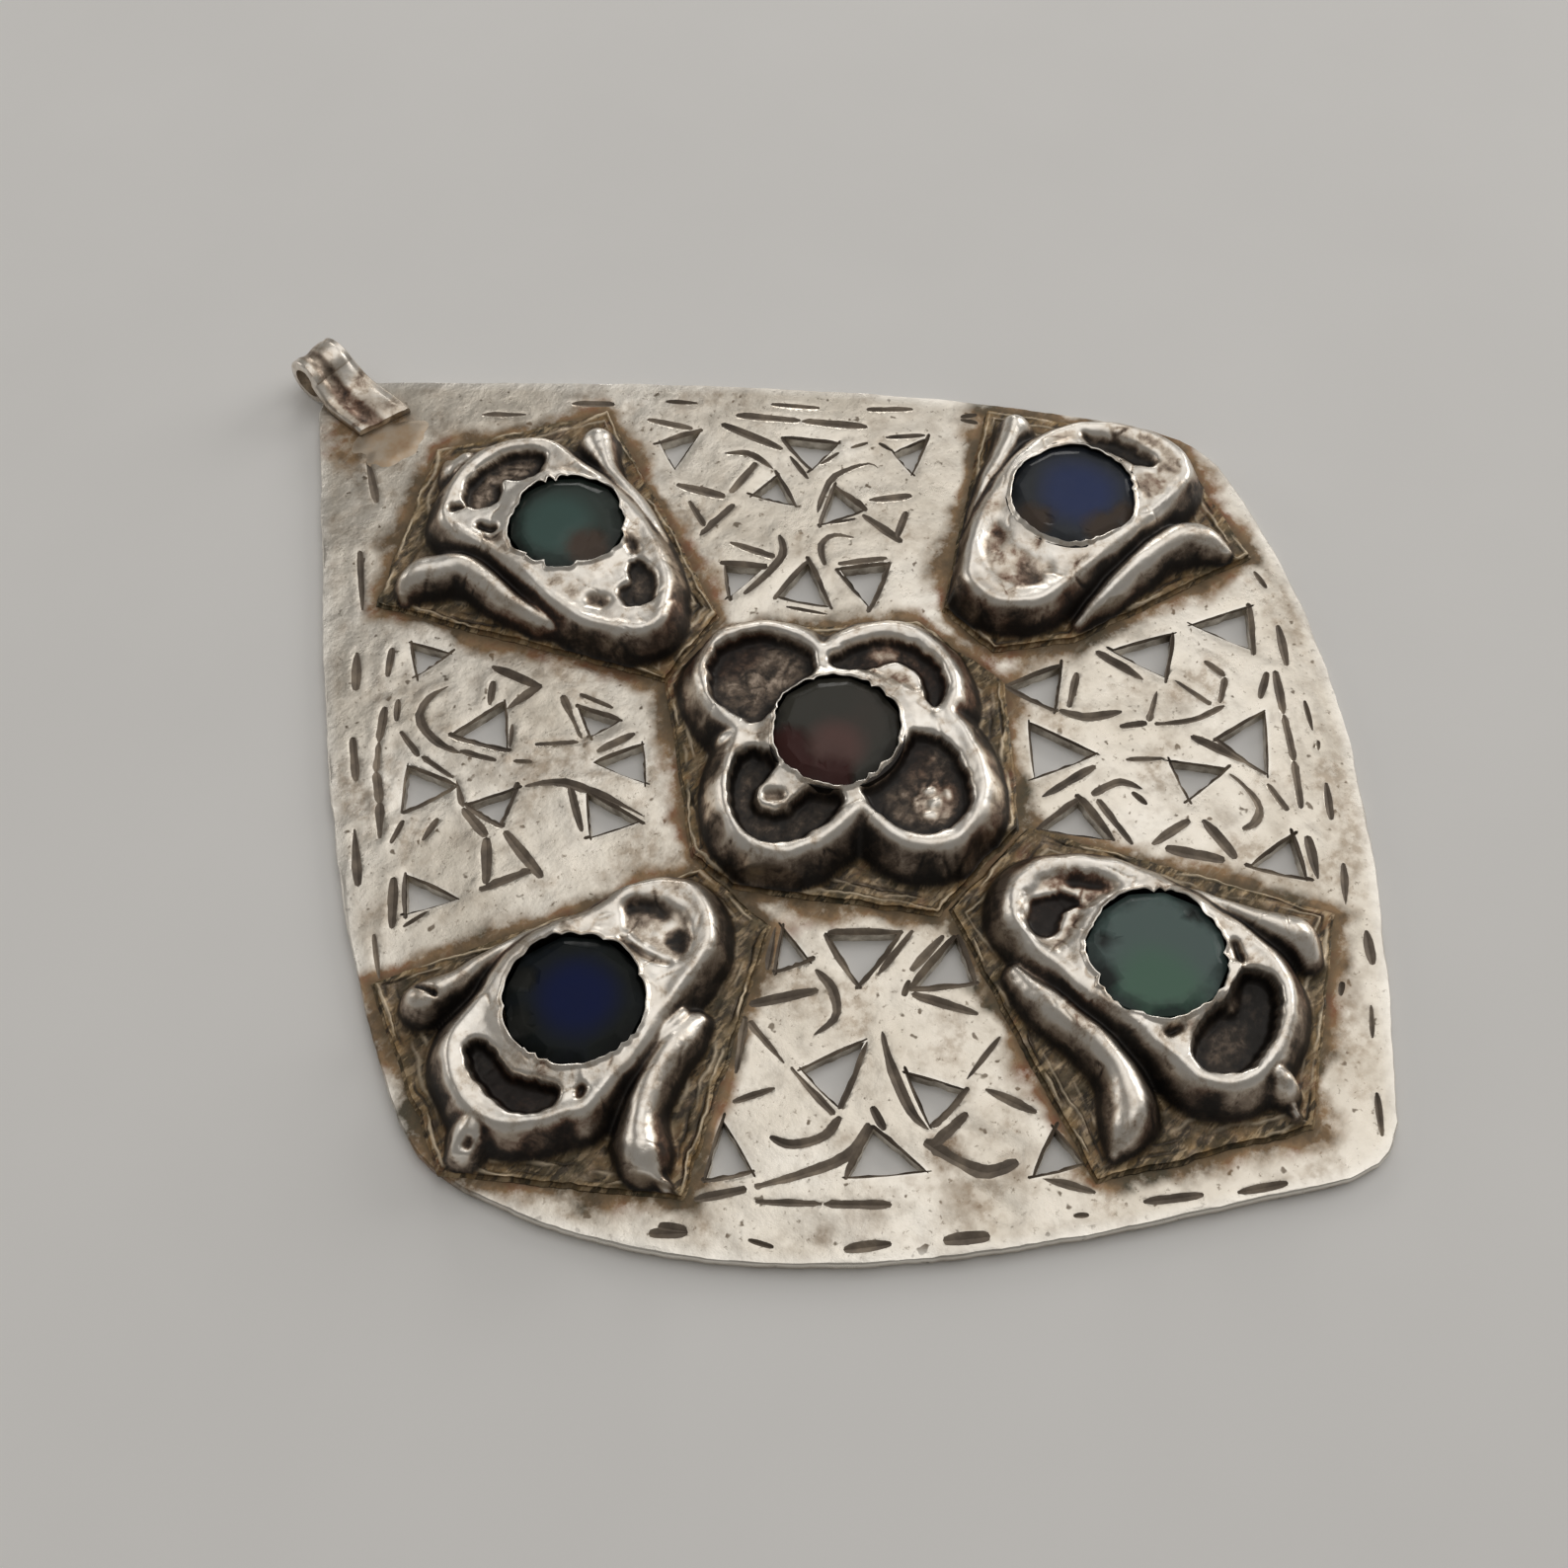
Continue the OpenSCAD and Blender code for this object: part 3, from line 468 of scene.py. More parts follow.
def rework(mesh, work):
    """Runs one step of mesh work on a finished mesh."""
    bm = bmesh.new()
    bm.from_mesh(mesh)
    work(bm)
    bm.to_mesh(mesh)
    bm.free()


def face_outwards(bm):
    bmesh.ops.recalc_face_normals(bm, faces=bm.faces)


def close_up(bm):
    """Fills the open ends of a shape."""
    bmesh.ops.holes_fill(bm, edges=[e for e in bm.edges if e.is_boundary], sides=0)
    face_outwards(bm)


def drop_spare_points(bm):
    """Takes out points that lie on a straight edge, which would leave slivers in the triangles."""
    bmesh.ops.dissolve_verts(bm, verts=[point for point in bm.verts if len(point.link_edges) == 2])


def get_points(piece):
    flat = np.empty(len(piece.data.vertices) * 3)
    piece.data.vertices.foreach_get("co", flat)
    return flat.reshape(-1, 3)


def to_frame(points):
    """Millimetres from the middle stone to metres in the part's frame."""
    return (points + MIDDLE) * MM


def set_points(piece, *columns):
    """Moves the points of a piece to the given columns, in millimetres from the middle stone."""
    points = to_frame(np.column_stack(columns))
    piece.data.vertices.foreach_set("co", np.ascontiguousarray(points).ravel())
    piece.data.update()


def set_wear(piece, **layers):
    """Stores wear, grime, painted shade and painted highlights on the points, for the finishes to read."""
    for name, values in layers.items():
        layer = piece.data.attributes.new(name, "FLOAT", "POINT")
        layer.data.foreach_set("value", np.ascontiguousarray(values, dtype=np.float32))


def smooth_faces(piece, angle=None):
    """Smooth faces, with a crease where they meet at more than angle degrees."""
    piece.data.polygons.foreach_set("use_smooth", np.ones(len(piece.data.polygons), bool))
    if angle is not None:
        piece.data.set_sharp_from_angle(angle=math.radians(angle))


def rolled_sheet(rings, turns, closed):
    """A flat grid of rings by columns whose two sides are welded; closed welds its ends as well."""
    rows = rings if closed else rings - 1
    bm = bmesh.new()
    bmesh.ops.create_grid(bm, x_segments=turns, y_segments=rows, size=1.0)
    places = {}
    for vert in bm.verts:
        places[round((vert.co.x + 1) / 2 * turns), round((vert.co.y + 1) / 2 * rows)] = vert
    welds = {}
    for (column, ring), vert in places.items():
        keeper = (column % turns, ring % rows if closed else ring)
        if keeper != (column, ring):
            welds[vert] = places[keeper]
    bmesh.ops.weld_verts(bm, targetmap=welds)
    return bm


def ring_and_column(piece, rings, turns, closed):
    """The ring and the column of each point of a rolled sheet."""
    across, along, _ = get_points(piece).T
    rows = rings if closed else rings - 1
    column = np.rint((across + 1) / 2 * turns).astype(int) % turns
    return np.rint((along + 1) / 2 * rows).astype(int), column


# Finishes

class Finish:
    """A material; each method adds a node to it and gives back what the node makes."""

    def __init__(self, name):
        self.material = bpy.data.materials.new(name)
        self.material.use_nodes = True
        self.tree = self.material.node_tree
        self.shader = self.tree.nodes["Principled BSDF"]
        self.place = self.node("ShaderNodeTexCoord", {}).outputs["Object"]

    def feed(self, socket, item):
        """Gives a socket a link or a value of its own."""
        if isinstance(item, bpy.types.NodeSocket):
            self.tree.links.new(item, socket)
        else:
            socket.default_value = (*item, 1) if socket.type == "RGBA" else item

    def node(self, kind, inputs, **settings):
        made = self.tree.nodes.new(kind)
        for key, value in settings.items():
            setattr(made, key, value)
        for key, item in inputs.items():
            self.feed(made.inputs[key], item)
        return made

    def wear(self, name):
        return self.node("ShaderNodeAttribute", {}, attribute_name=name).outputs["Fac"]

    def noise(self, scale, detail=4.0, roughness=0.6, distortion=0.0, place=None):
        inputs = {"Vector": self.place if place is None else place, "Scale": scale, "Detail": detail,
                  "Roughness": roughness, "Distortion": distortion}
        return self.node("ShaderNodeTexNoise", inputs).outputs["Fac"]

    def streaks(self, turn, scale):
        """Noise drawn out along one direction, as scratches are."""
        inputs = {"Vector": self.place, "Rotation": (0, 0, turn), "Scale": (1.0, 3.2, 1.0)}
        return self.noise(scale, 4.0, 0.65, place=self.node("ShaderNodeMapping", inputs).outputs["Vector"])

    def ramp(self, value, *stops):
        """Colours by value; each stop is a value and its colour."""
        made = self.node("ShaderNodeValToRGB", {"Fac": value})
        bar = made.color_ramp.elements
        for stop, (place, color) in zip(bar, (stops[0], stops[-1])):
            stop.position, stop.color = place, (*color, 1)
        for place, color in stops[1:-1]:
            bar.new(place).color = (*color, 1)
        return made.outputs["Color"]

    def fit(self, value, low, high, start, end):
        """Maps low..high to start..end, and holds the ends."""
        inputs = {"Value": value, "From Min": low, "From Max": high, "To Min": start, "To Max": end}
        return self.node("ShaderNodeMapRange", inputs, clamp=True).outputs["Result"]

    def plus(self, a, b):
        return self.node("ShaderNodeMath", {0: a, 1: b}, operation="ADD").outputs[0]

    def times(self, a, b):
        return self.node("ShaderNodeMath", {0: a, 1: b}, operation="MULTIPLY").outputs[0]

    def blend(self, amount, a, b, kind="MIX"):
        """Lays colour b over colour a; 6 and 7 are the node's colour inputs and 2 its colour output."""
        inputs = {0: amount, 6: a, 7: b}
        return self.node("ShaderNodeMix", inputs, data_type="RGBA", blend_type=kind).outputs[2]

    def dent(self, height, strength, distance):
        inputs = {"Strength": strength, "Distance": distance, "Height": height}
        self.feed(self.shader.inputs["Normal"], self.node("ShaderNodeBump", inputs).outputs["Normal"])

    def coat(self, color, metallic, roughness):
        """Sets the surface and gives back the finished material."""
        for name, item in (("Base Color", color), ("Metallic", metallic), ("Roughness", roughness)):
            self.feed(self.shader.inputs[name], item)
        return self.material


def sheet_silver():
    """Hammered and worn sheet: pale, finely pitted, brown along the plaques."""
    f = Finish("old silver sheet")
    patch, speck, pit = f.noise(620.0), f.noise(2300.0, 3.0, 0.7), f.noise(1150.0, 2.0, 0.5)
    color = f.ramp(f.noise(130.0, 5.0), (0.30, (0.62, 0.565, 0.48)), (0.5, (0.735, 0.68, 0.595)),
                   (0.70, (0.83, 0.785, 0.71)))
    color = f.blend(f.fit(patch, 0.52, 0.72, 0.0, 0.45), color, (0.40, 0.34, 0.27))
    color = f.blend(f.fit(speck, 0.61, 0.71, 0.0, 0.75), color, (0.18, 0.14, 0.10))
    color = f.blend(f.fit(pit, 0.675, 0.715, 0.0, 0.85), color, (0.13, 0.10, 0.07))
    smear = f.times(f.fit(f.noise(210.0, 5.0), 0.51, 0.62, 0.0, 1.0),
                    f.fit(f.noise(1500.0), 0.42, 0.60, 0.15, 0.7))
    color = f.blend(smear, color, (0.34, 0.27, 0.20))
    color = f.blend(f.fit(f.wear("rub"), 0.3, 1.0, 0.0, 0.75), color, (0.93, 0.90, 0.84))
    # Brown smudges, which also serve as painted shade on the knocked parts of the sheet.
    soil = f.times(f.wear("soil"), f.fit(f.noise(1100.0, 5.0, 0.65), 0.38, 0.62, 0.55, 1.15))
    color = f.blend(soil, color, (0.19, 0.130, 0.080))
    stain = f.times(f.wear("stain"), f.fit(f.noise(800.0, 5.0, 0.65), 0.28, 0.6, 0.35, 1.2))
    rust = f.ramp(f.noise(260.0, 5.0, 0.65), (0.34, (0.062, 0.050, 0.026)), (0.45, (0.16, 0.100, 0.048)),
                  (0.54, (0.29, 0.180, 0.086)), (0.66, (0.24, 0.090, 0.038)))
    rust = f.blend(f.fit(f.streaks(2.2, 480.0), 0.56, 0.74, 0.0, 0.5), rust, (0.55, 0.46, 0.34))
    color = f.blend(f.fit(stain, 0.08, 0.62, 0.0, 0.95), color, rust)
    color = f.blend(f.fit(f.wear("stain"), 0.72, 1.0, 0.0, 0.62), color, (0.105, 0.076, 0.038))
    f.dent(f.plus(f.noise(700.0, 5.0, 0.65), f.times(speck, -0.35)), 0.6, 0.00008)
    return f.coat(color, f.fit(stain, 0.1, 0.9, 1.0, 0.45),
                  f.plus(f.fit(patch, 0.3, 0.7, 0.25, 0.35), f.fit(stain, 0.0, 1.0, 0.0, 0.2)))


def cut_metal():
    """The inside of a chisel cut: tarnished grey-brown."""
    f = Finish("tarnish in the cuts")
    tone = f.noise(500.0)
    f.dent(tone, 0.4, 0.00005)
    return f.coat(f.ramp(tone, (0.3, (0.085, 0.066, 0.050)), (0.5, (0.17, 0.135, 0.102)),
                         (0.70, (0.32, 0.26, 0.195))), 0.35, 0.5)


def pierced_metal():
    """The sawn walls of the pierced triangles: brighter, with file marks."""
    f = Finish("sawn silver")
    tone = f.noise(700.0)
    f.dent(tone, 0.5, 0.00005)
    return f.coat(f.ramp(tone, (0.35, (0.30, 0.26, 0.21)), (0.6, (0.78, 0.73, 0.65))), 1.0, 0.42)


def cast_silver():
    """Raised work: crests bright from polish and a painted highlight, grime and painted shade brown-black in
    the recesses, golden on the flange.
    """
    f = Finish("old cast silver")
    fine, patch = f.noise(1300.0, 5.0, 0.65), f.noise(330.0, 4.0, 0.55)
    mottle = f.noise(760.0, 6.0, 0.72, 0.4)
    # The attribute read here is grime, painted shade in the recesses and a painted highlight on the crests.
    dirt = f.wear("dirt")
    for grain, low, high, start, end in ((patch, 0.3, 0.7, -0.10, 0.12), (fine, 0.5, 0.75, 0.0, 0.12),
                                         (mottle, 0.50, 0.74, 0.0, 0.30)):
        dirt = f.plus(dirt, f.fit(grain, low, high, start, end))
    blotch = f.fit(f.noise(480.0, 7.0, 0.75, 0.6), 0.34, 0.66, -0.20, 0.20)
    dirt = f.plus(dirt, f.times(blotch, f.fit(dirt, 0.16, 0.52, 0.12, 0.8)))
    speck = f.fit(f.noise(1200.0, 5.0, 0.65, 0.5), 0.36, 0.64, -0.12, 0.12)
    dirt = f.plus(dirt, f.times(speck, f.fit(dirt, 0.25, 0.55, 0.12, 1.0)))
    color = f.ramp(dirt, (0.0, (0.87, 0.83, 0.77)), (0.12, (0.80, 0.745, 0.67)), (0.24, (0.60, 0.52, 0.43)),
                   (0.38, (0.335, 0.27, 0.215)), (0.56, (0.138, 0.103, 0.077)),
                   (0.76, (0.042, 0.031, 0.023)), (1.0, (0.014, 0.011, 0.009)))
    warm = f.times(f.fit(dirt, 0.28, 0.48, 0.0, 0.75),
                   f.fit(f.noise(170.0, 3.0, 0.5), 0.53, 0.66, 0.0, 1.0))
    color = f.blend(warm, color, (0.85, 0.56, 0.46), "MULTIPLY")
    gold = f.ramp(f.noise(420.0, 5.0, 0.65), (0.32, (0.050, 0.044, 0.018)), (0.45, (0.140, 0.098, 0.044)),
                  (0.56, (0.33, 0.215, 0.095)), (0.68, (0.20, 0.085, 0.038)))
    bright, line = f.streaks(0.7, 760.0), f.wear("line")
    # In the last two rows the raised scraped lines are painted cream as a painted highlight and the grooves
    # near black as painted shade.
    for mark, low, high, start, end, tone in (
            (f.streaks(0.7, 480.0), 0.54, 0.72, 0.0, 0.55, (0.50, 0.40, 0.25)),
            (f.streaks(2.3, 640.0), 0.40, 0.49, 0.85, 0.0, (0.032, 0.025, 0.014)),
            (bright, 0.53, 0.62, 0.0, 0.85, (0.56, 0.42, 0.25)),
            (line, -0.7, -0.1, 0.9, 0.0, (0.034, 0.026, 0.015)),
            (line, 0.12, 0.7, 0.0, 0.95, (0.76, 0.63, 0.45))):
        gold = f.blend(f.fit(mark, low, high, start, end), gold, tone)
    color = f.blend(f.times(f.wear("seam"), f.fit(fine, 0.3, 0.6, 0.5, 1.0)), color, gold)
    height = f.plus(f.plus(fine, f.times(patch, 0.8)), f.times(bright, f.wear("seam")))
    f.dent(height, 0.34, 0.00008)
    return f.coat(color, f.fit(dirt, 0.28, 0.70, 1.0, 0.45),
                  f.plus(f.fit(dirt, 0.0, 0.8, 0.31, 0.46), f.fit(fine, 0.3, 0.7, -0.04, 0.06)))


def solder_metal():
    """A thin run of solder: sheet colour, with an orange rim where the heat reached."""
    f = Finish("solder")
    tone = f.noise(300.0)
    heat = f.plus(f.wear("heat"), f.fit(tone, 0.32, 0.68, -0.40, 0.55))
    f.dent(tone, 0.3, 0.00006)
    return f.coat(f.ramp(heat, (0.1, (0.50, 0.42, 0.33)), (0.4, (0.45, 0.33, 0.22)),
                         (0.75, (0.34, 0.18, 0.10))), 0.95, 0.40)


def dark_glass(name, body, glow, worn, polish):
    """Old paste stone: nearly opaque, with a paler heart, darker in places towards its edge."""
    f = Finish(name)
    cloud = f.fit(f.noise(260.0, 3.0, 0.5), 0.3, 0.7, -0.12, 0.12)
    color = f.blend(f.plus(f.wear("glow"), cloud), body, glow)
    rim = f.times(f.wear("edge"), f.fit(f.noise(420.0), 0.35, 0.62, 0.2, 1.2))
    color = f.blend(f.fit(rim, 0.2, 0.9, 0.0, 0.9), color, tuple(0.4 * part for part in body))
    color = f.blend(f.wear("chip"), color, worn)
    scratch = f.noise(1400.0, 5.0, 0.7)
    f.shader.inputs["Specular IOR Level"].default_value = polish
    f.dent(scratch, 0.08, 0.00003)
    return f.coat(color, 0.0, f.plus(f.fit(scratch, 0.4, 0.75, 0.14, 0.30), f.times(f.wear("chip"), 0.22)))


def pale_floor():
    f = Finish("pale paper")
    color = f.ramp(f.noise(40.0, 3.0), (0.3, (0.89, 0.885, 0.875)), (0.7, (0.92, 0.915, 0.905)))
    return f.coat(color, 0.0, 0.9)


SHEET = sheet_silver()
CUT = cut_metal()
SAWN = pierced_metal()
CAST = cast_silver()


# Plate

SHEET_CELL = 0.25  # spacing of the points of the sheet
SHEET_SIZE, SHEET_AT = (68.5, 83.0), (-0.4, 3.0)  # the blank before it is trimmed, and its middle
SHEET_CORNERS = 0.25, 0.3  # how much two passes cut from each corner of the outline
CUT_SPREAD, CUT_DEPTH = 1.28, 0.15  # a cut against its width in the table
MARK_DEPTH = 0.22  # of the cuts along the sides of the triangles
CUTTER_RISE = 0.3  # of a cutter over the face
LOOK_AHEAD = 0.15  # how far a cutter looks along its path to find its direction
SAW_TURNS, SAW_SPREAD = 24, 0.05  # points round a triangle, and how much wider it is at the top
SAW_LOW, SAW_HIGH = -1.0, 2.0
TRIANGLE_REACH = 4.0  # past which a triangle no longer presses the sheet down
FACE_DROP = -0.045  # mean height of the hammered face against a flat one
FACE_LOW, FACE_HIGH = -0.2, 0.015
WORN_REACH = 1.2  # how far the rubbed metal reaches in from an edge
RIM_TURNS = 480
# Section of the trimming tool from above the plate to below it: inset and height over the face
RIM = [(1.6, 1.0), (0.30, 1.0), (0.30, 0.0), (0.13, -0.03), (0.04, -0.11), (0.0, -0.25), (0.0, -0.60),
       (0.05, -0.75), (0.16, -0.845), (0.30, -0.90), (1.6, -0.90)]


def plate_outline():
    """The plate's four bulging sides, with their corners rounded off."""
    points = []
    for a, b in zip(PLATE_CORNERS, PLATE_CORNERS[1:] + PLATE_CORNERS[:1]):
        start, run = np.array(a[:2]), np.array(b[:2]) - np.array(a[:2])
        out = np.array([-run[1], run[0]]) / np.linalg.norm(run)
        for t in np.arange(8) / 8:
            u = 1 - t
            points.append(start + run * t + out * (3 * t * u * u * a[2] + 3 * t * t * u * a[3]))
    points = np.array(points)
    for share in SHEET_CORNERS:
        after = np.roll(points, -1, axis=0)
        points = np.stack([points * (1 - share) + after * share,
                           points * share + after * (1 - share)], 1).reshape(-1, 2)
    return points


def knocked(x, y):
    """How far the old knocks push the sheet down at x, y."""
    sink = np.zeros(x.shape)
    for start_x, start_y, end_x, end_y, width, depth in KNOCKS:
        path = np.array([(start_x, start_y), (end_x, end_y)])
        sink += depth * np.exp(-(path_distance(x, y, path) / width) ** 2)
    return sink


def lens_cutter(points, width, depth):
    """A pointed boat shape along a path, which cuts a chisel mark into the face."""
    path = smooth_path(np.asarray(points, float).reshape(-1, 2), 6)
    steps = steps_along(path)
    bm = bmesh.new()
    bmesh.ops.create_uvsphere(bm, u_segments=4, v_segments=8 if len(points) == 4 else 16, radius=1.0)
    cutter = new_piece("chisel", bm)
    side, up, along = get_points(cutter).T
    at = (along + 1) / 2 * steps[-1]
    run = (places_along(path, steps, np.minimum(at + LOOK_AHEAD, steps[-1]))
           - places_along(path, steps, np.maximum(at - LOOK_AHEAD, 0)))
    run /= np.linalg.norm(run, axis=1)[:, None]
    slim = np.clip(1 - along * along, 1e-6, 1) ** -0.25
    across = np.stack([-run[:, 1], run[:, 0]], 1)
    spot = places_along(path, steps, at) + across * (side * slim * width / 2)[:, None]
    level = PLATE_T - knocked(spot[:, 0], spot[:, 1])
    set_points(cutter, spot, level + up * slim * np.where(up < 0, depth, CUTTER_RISE))
    return cutter


def hole_cutter(corners, seed):
    """A three-sided prism with hand-sawn walls, a little wider at the top."""
    middle = corners.mean(axis=0)
    side = SAW_TURNS // 3
    rng = np.random.default_rng(seed)
    wander = rng.uniform(-0.05, 0.05, SAW_TURNS) * (np.arange(SAW_TURNS) % side != 0)
    bm = bmesh.new()
    bmesh.ops.create_cone(bm, cap_ends=True, segments=SAW_TURNS, radius1=1, radius2=1, depth=2)
    for vert in bm.verts:
        step = int(round(math.atan2(vert.co.x, vert.co.y) / (2 * math.pi / SAW_TURNS))) % SAW_TURNS
        a, b = corners[step // side], corners[(step // side + 1) % 3]
        spot = a + (b - a) * (step % side) / side
        out = (spot - middle) / np.linalg.norm(spot - middle)
        top = vert.co.z > 0
        spot = spot + out * (wander[step] + (SAW_SPREAD if top else 0.0))
        vert.co = Vector(to_frame(np.array([*spot, SAW_HIGH if top else SAW_LOW])))
    return new_piece("saw", bm)


def carve(piece, cutters, slot, how):
    """Cuts a piece with the cutters, or trims it to them; the new faces get the given material slot."""
    def ready(bm):
        face_outwards(bm)
        for face in bm.faces:
            face.material_index = slot

    box = bpy.data.collections.new("cutters")
    bpy.context.scene.collection.children.link(box)
    for cutter in cutters:
        rework(cutter.data, ready)
        for material in piece.data.materials:
            cutter.data.materials.append(material)
        box.objects.link(cutter)
    tool = piece.modifiers.new("cut", "BOOLEAN")
    tool.operation = how
    tool.solver = "MANIFOLD"
    tool.operand_type = "COLLECTION"
    tool.collection = box
    worked = bpy.data.meshes.new_from_object(piece.evaluated_get(bpy.context.evaluated_depsgraph_get()))
    piece.modifiers.clear()
    piece.data = worked
    rework(worked, drop_spare_points)
    for cutter in cutters:
        bpy.data.objects.remove(cutter)
    bpy.data.collections.remove(box)


def edge_prism(loop):
    """The outline of the plate with its rounded rim, closed above and below, to trim the sheet with."""
    prism = new_piece("rim", rolled_sheet(len(RIM), RIM_TURNS, closed=False))
    ring, column = ring_and_column(prism, len(RIM), RIM_TURNS, closed=False)
    around = np.vstack([loop, loop[:1]])
    steps = steps_along(around)
    edge = places_along(around, steps, np.arange(RIM_TURNS) / RIM_TURNS * steps[-1])
    x, y = edge.T
    worn = np.clip(0.07 + 0.045 * ripple(x, y, 5.0, 3) + 0.02 * ripple(x, y, 1.4, 4), 0.01, 0.2)
    inset, level = np.array(RIM).T
    share = 1 - (worn[column] + inset[ring]) / np.linalg.norm(edge, axis=1)[column]
    set_points(prism, edge[column] * share[:, None], PLATE_T + level[ring])
    rework(prism.data, close_up)
    return prism


def sheet_blank(triangles):
    """The hammered sheet before it is trimmed: uneven on top, pressed down beside the holes and at old
    knocks, with a low burr beside each cut.
    """
    wide, high = SHEET_SIZE
    columns, rows = int(wide / SHEET_CELL), int(high / SHEET_CELL)
    bm = bmesh.new()
    bmesh.ops.create_grid(bm, x_segments=columns, y_segments=rows, size=0.5)
    rim = bmesh.ops.extrude_edge_only(bm, edges=[e for e in bm.edges if e.is_boundary])["geom"]
    bmesh.ops.translate(bm, verts=[v for v in rim if isinstance(v, bmesh.types.BMVert)], vec=(0, 0, -1))
    close_up(bm)
    blank = new_piece("plate", bm)
    across, along, upper = get_points(blank).T
    x, y = across * wide + SHEET_AT[0], along * high + SHEET_AT[1]
    z = FACE_DROP + 0.028 * ripple(x, y, 9.0, 11)
    z += 0.010 * ripple(x, y, 2.8, 12)
    z += 0.004 * ripple(x, y, 1.3, 13)
    near = np.full(len(x), 9.0)
    for corners in triangles:
        middle = corners.mean(axis=0)
        close = np.flatnonzero(np.hypot(x - middle[0], y - middle[1]) < TRIANGLE_REACH)
        gap = -edge_distance(x[close], y[close], corners)
        near[close] = np.minimum(near[close], np.maximum(gap, 0))
    z -= 0.05 * np.exp(-(near / 0.38) ** 2)
    for cut in ALL_CUTS:  # each cut has thrown up a low burr on both sides
        path = smooth_path(np.array(cut[1:]).reshape(-1, 2), 3)
        middle, reach = path.mean(axis=0), np.ptp(path, axis=0).max() / 2 + 1.2
        close = np.flatnonzero((np.abs(x - middle[0]) < reach) & (np.abs(y - middle[1]) < reach))
        side = path_distance(x[close], y[close], path)
        z[close] += 0.030 * np.exp(-((side - 0.45) / 0.22) ** 2)
    z -= knocked(x, y)
    set_points(blank, x, y, np.where(upper > -0.5, PLATE_T + np.clip(z, FACE_LOW, FACE_HIGH), 0.0))
    for material in (SHEET, CUT, SAWN):
        blank.data.materials.append(material)
    return blank


def side_marks(triangles):
    """Three long chisel cuts round each triangle, just outside its sides."""
    marks = []
    rng = np.random.default_rng(8)
    for corners in triangles:
        for i in range(3):
            a, b = corners[i], corners[(i + 1) % 3]
            run = (b - a) / np.linalg.norm(b - a)
            out = np.array([run[1], -run[0]])
            if (corners[(i + 2) % 3] - a) @ out > 0:
                out = -out
            past, width = rng.uniform(0.15, 0.65, 2), rng.uniform(0.28, 0.78)
            aside = out * (0.02 + 0.22 * (width - 0.28))
            line = np.concatenate([a - run * past[0] + aside, b + run * past[1] + aside])
            marks.append(lens_cutter(line, width, MARK_DEPTH))
    return marks


def make_plate():
    """The sheet, trimmed, chiselled and sawn; cuts and saw walls get the blank's second and third finish."""
    triangles = [np.array(row).reshape(3, 2) for row in PIERCINGS]
    plate = sheet_blank(triangles)
    carve(plate, [edge_prism(plate_outline())], 0, "INTERSECT")
    marks = side_marks(triangles)
    marks += [lens_cutter(cut[1:], cut[0] * CUT_SPREAD, CUT_DEPTH) for cut in ALL_CUTS]
    carve(plate, marks, 1, "DIFFERENCE")
    carve(plate, [hole_cutter(corners, number) for number, corners in enumerate(triangles)], 2, "DIFFERENCE")
    wear_plate(plate, triangles)
    smooth_faces(plate, 28)
    return plate


def wear_plate(plate, triangles):
    """Brown seams round the plaques and the bail's foot, brown smudges that also serve as painted shade on
    the knocks, and metal rubbed bright along the edges.
    """
    x, y, z = (get_points(plate) / MM - MIDDLE).T
    near = np.full(len(x), 1e9)
    for plaque in PLAQUES.values():
        gap = -edge_distance(x, y, np.array(plaque["outline"], float))
        near = np.minimum(near, np.maximum(gap, 0))
    seam = np.exp(-(near / (1.00 + 0.33 * ripple(x, y, 7.0, 21) + 0.15 * ripple(x, y, 2.0, 22))) ** 2)
    foot = np.exp(-(np.hypot((x + 1.6) / 3.4, (y - 38.8) / 2.9)) ** 4) * 0.70
    edge = edge_distance(x, y, plate_outline())
    for corners in triangles:
        middle = corners.mean(axis=0)
        close = np.flatnonzero(np.hypot(x - middle[0], y - middle[1]) < 3.5)
        edge[close] = np.minimum(edge[close], 2.5 * np.abs(edge_distance(x[close], y[close], corners)))
    set_wear(plate, stain=np.maximum(seam, foot), soil=np.clip(spots(x, y, SHEET_SOIL_AND_KNOCK_SHADE, 0.6), 0, 1),
             rub=np.clip(1 - edge / WORN_REACH, 0, 1) * (z > 0.3))


# Plaques

RELIEF_CELL = 0.08
WANDER = 0.05  # how far hand work strays from its lines
FILLET = 0.16  # where a ridge meets the body
COLLAR_SWELL = 0.20  # of the body up to the collar
EDGE_STEP = 0.19  # between the points along a flange's edge
TOOTH = 1.9  # mean length of a tooth of a torn edge
LIP_RINGS, FIELD_RINGS = 12, 96  # over the collar, and from there to the flange's edge
LIP_WIDE, LIP_FALL = 0.75, 0.28  # width of the collar's rings, and of the fall from its edge
SKIRT = [(0.0, -0.14), (0.05, -0.24), (0.20, -0.30), (0.20, -0.52), (0.0, -0.55)]  # out of the edge, down
WALL = [(0.25, PLATE_T - 0.3), (0.25, 2.4), (0.15, GIRDLE_Z + 0.12)]  # clear of the stone, height


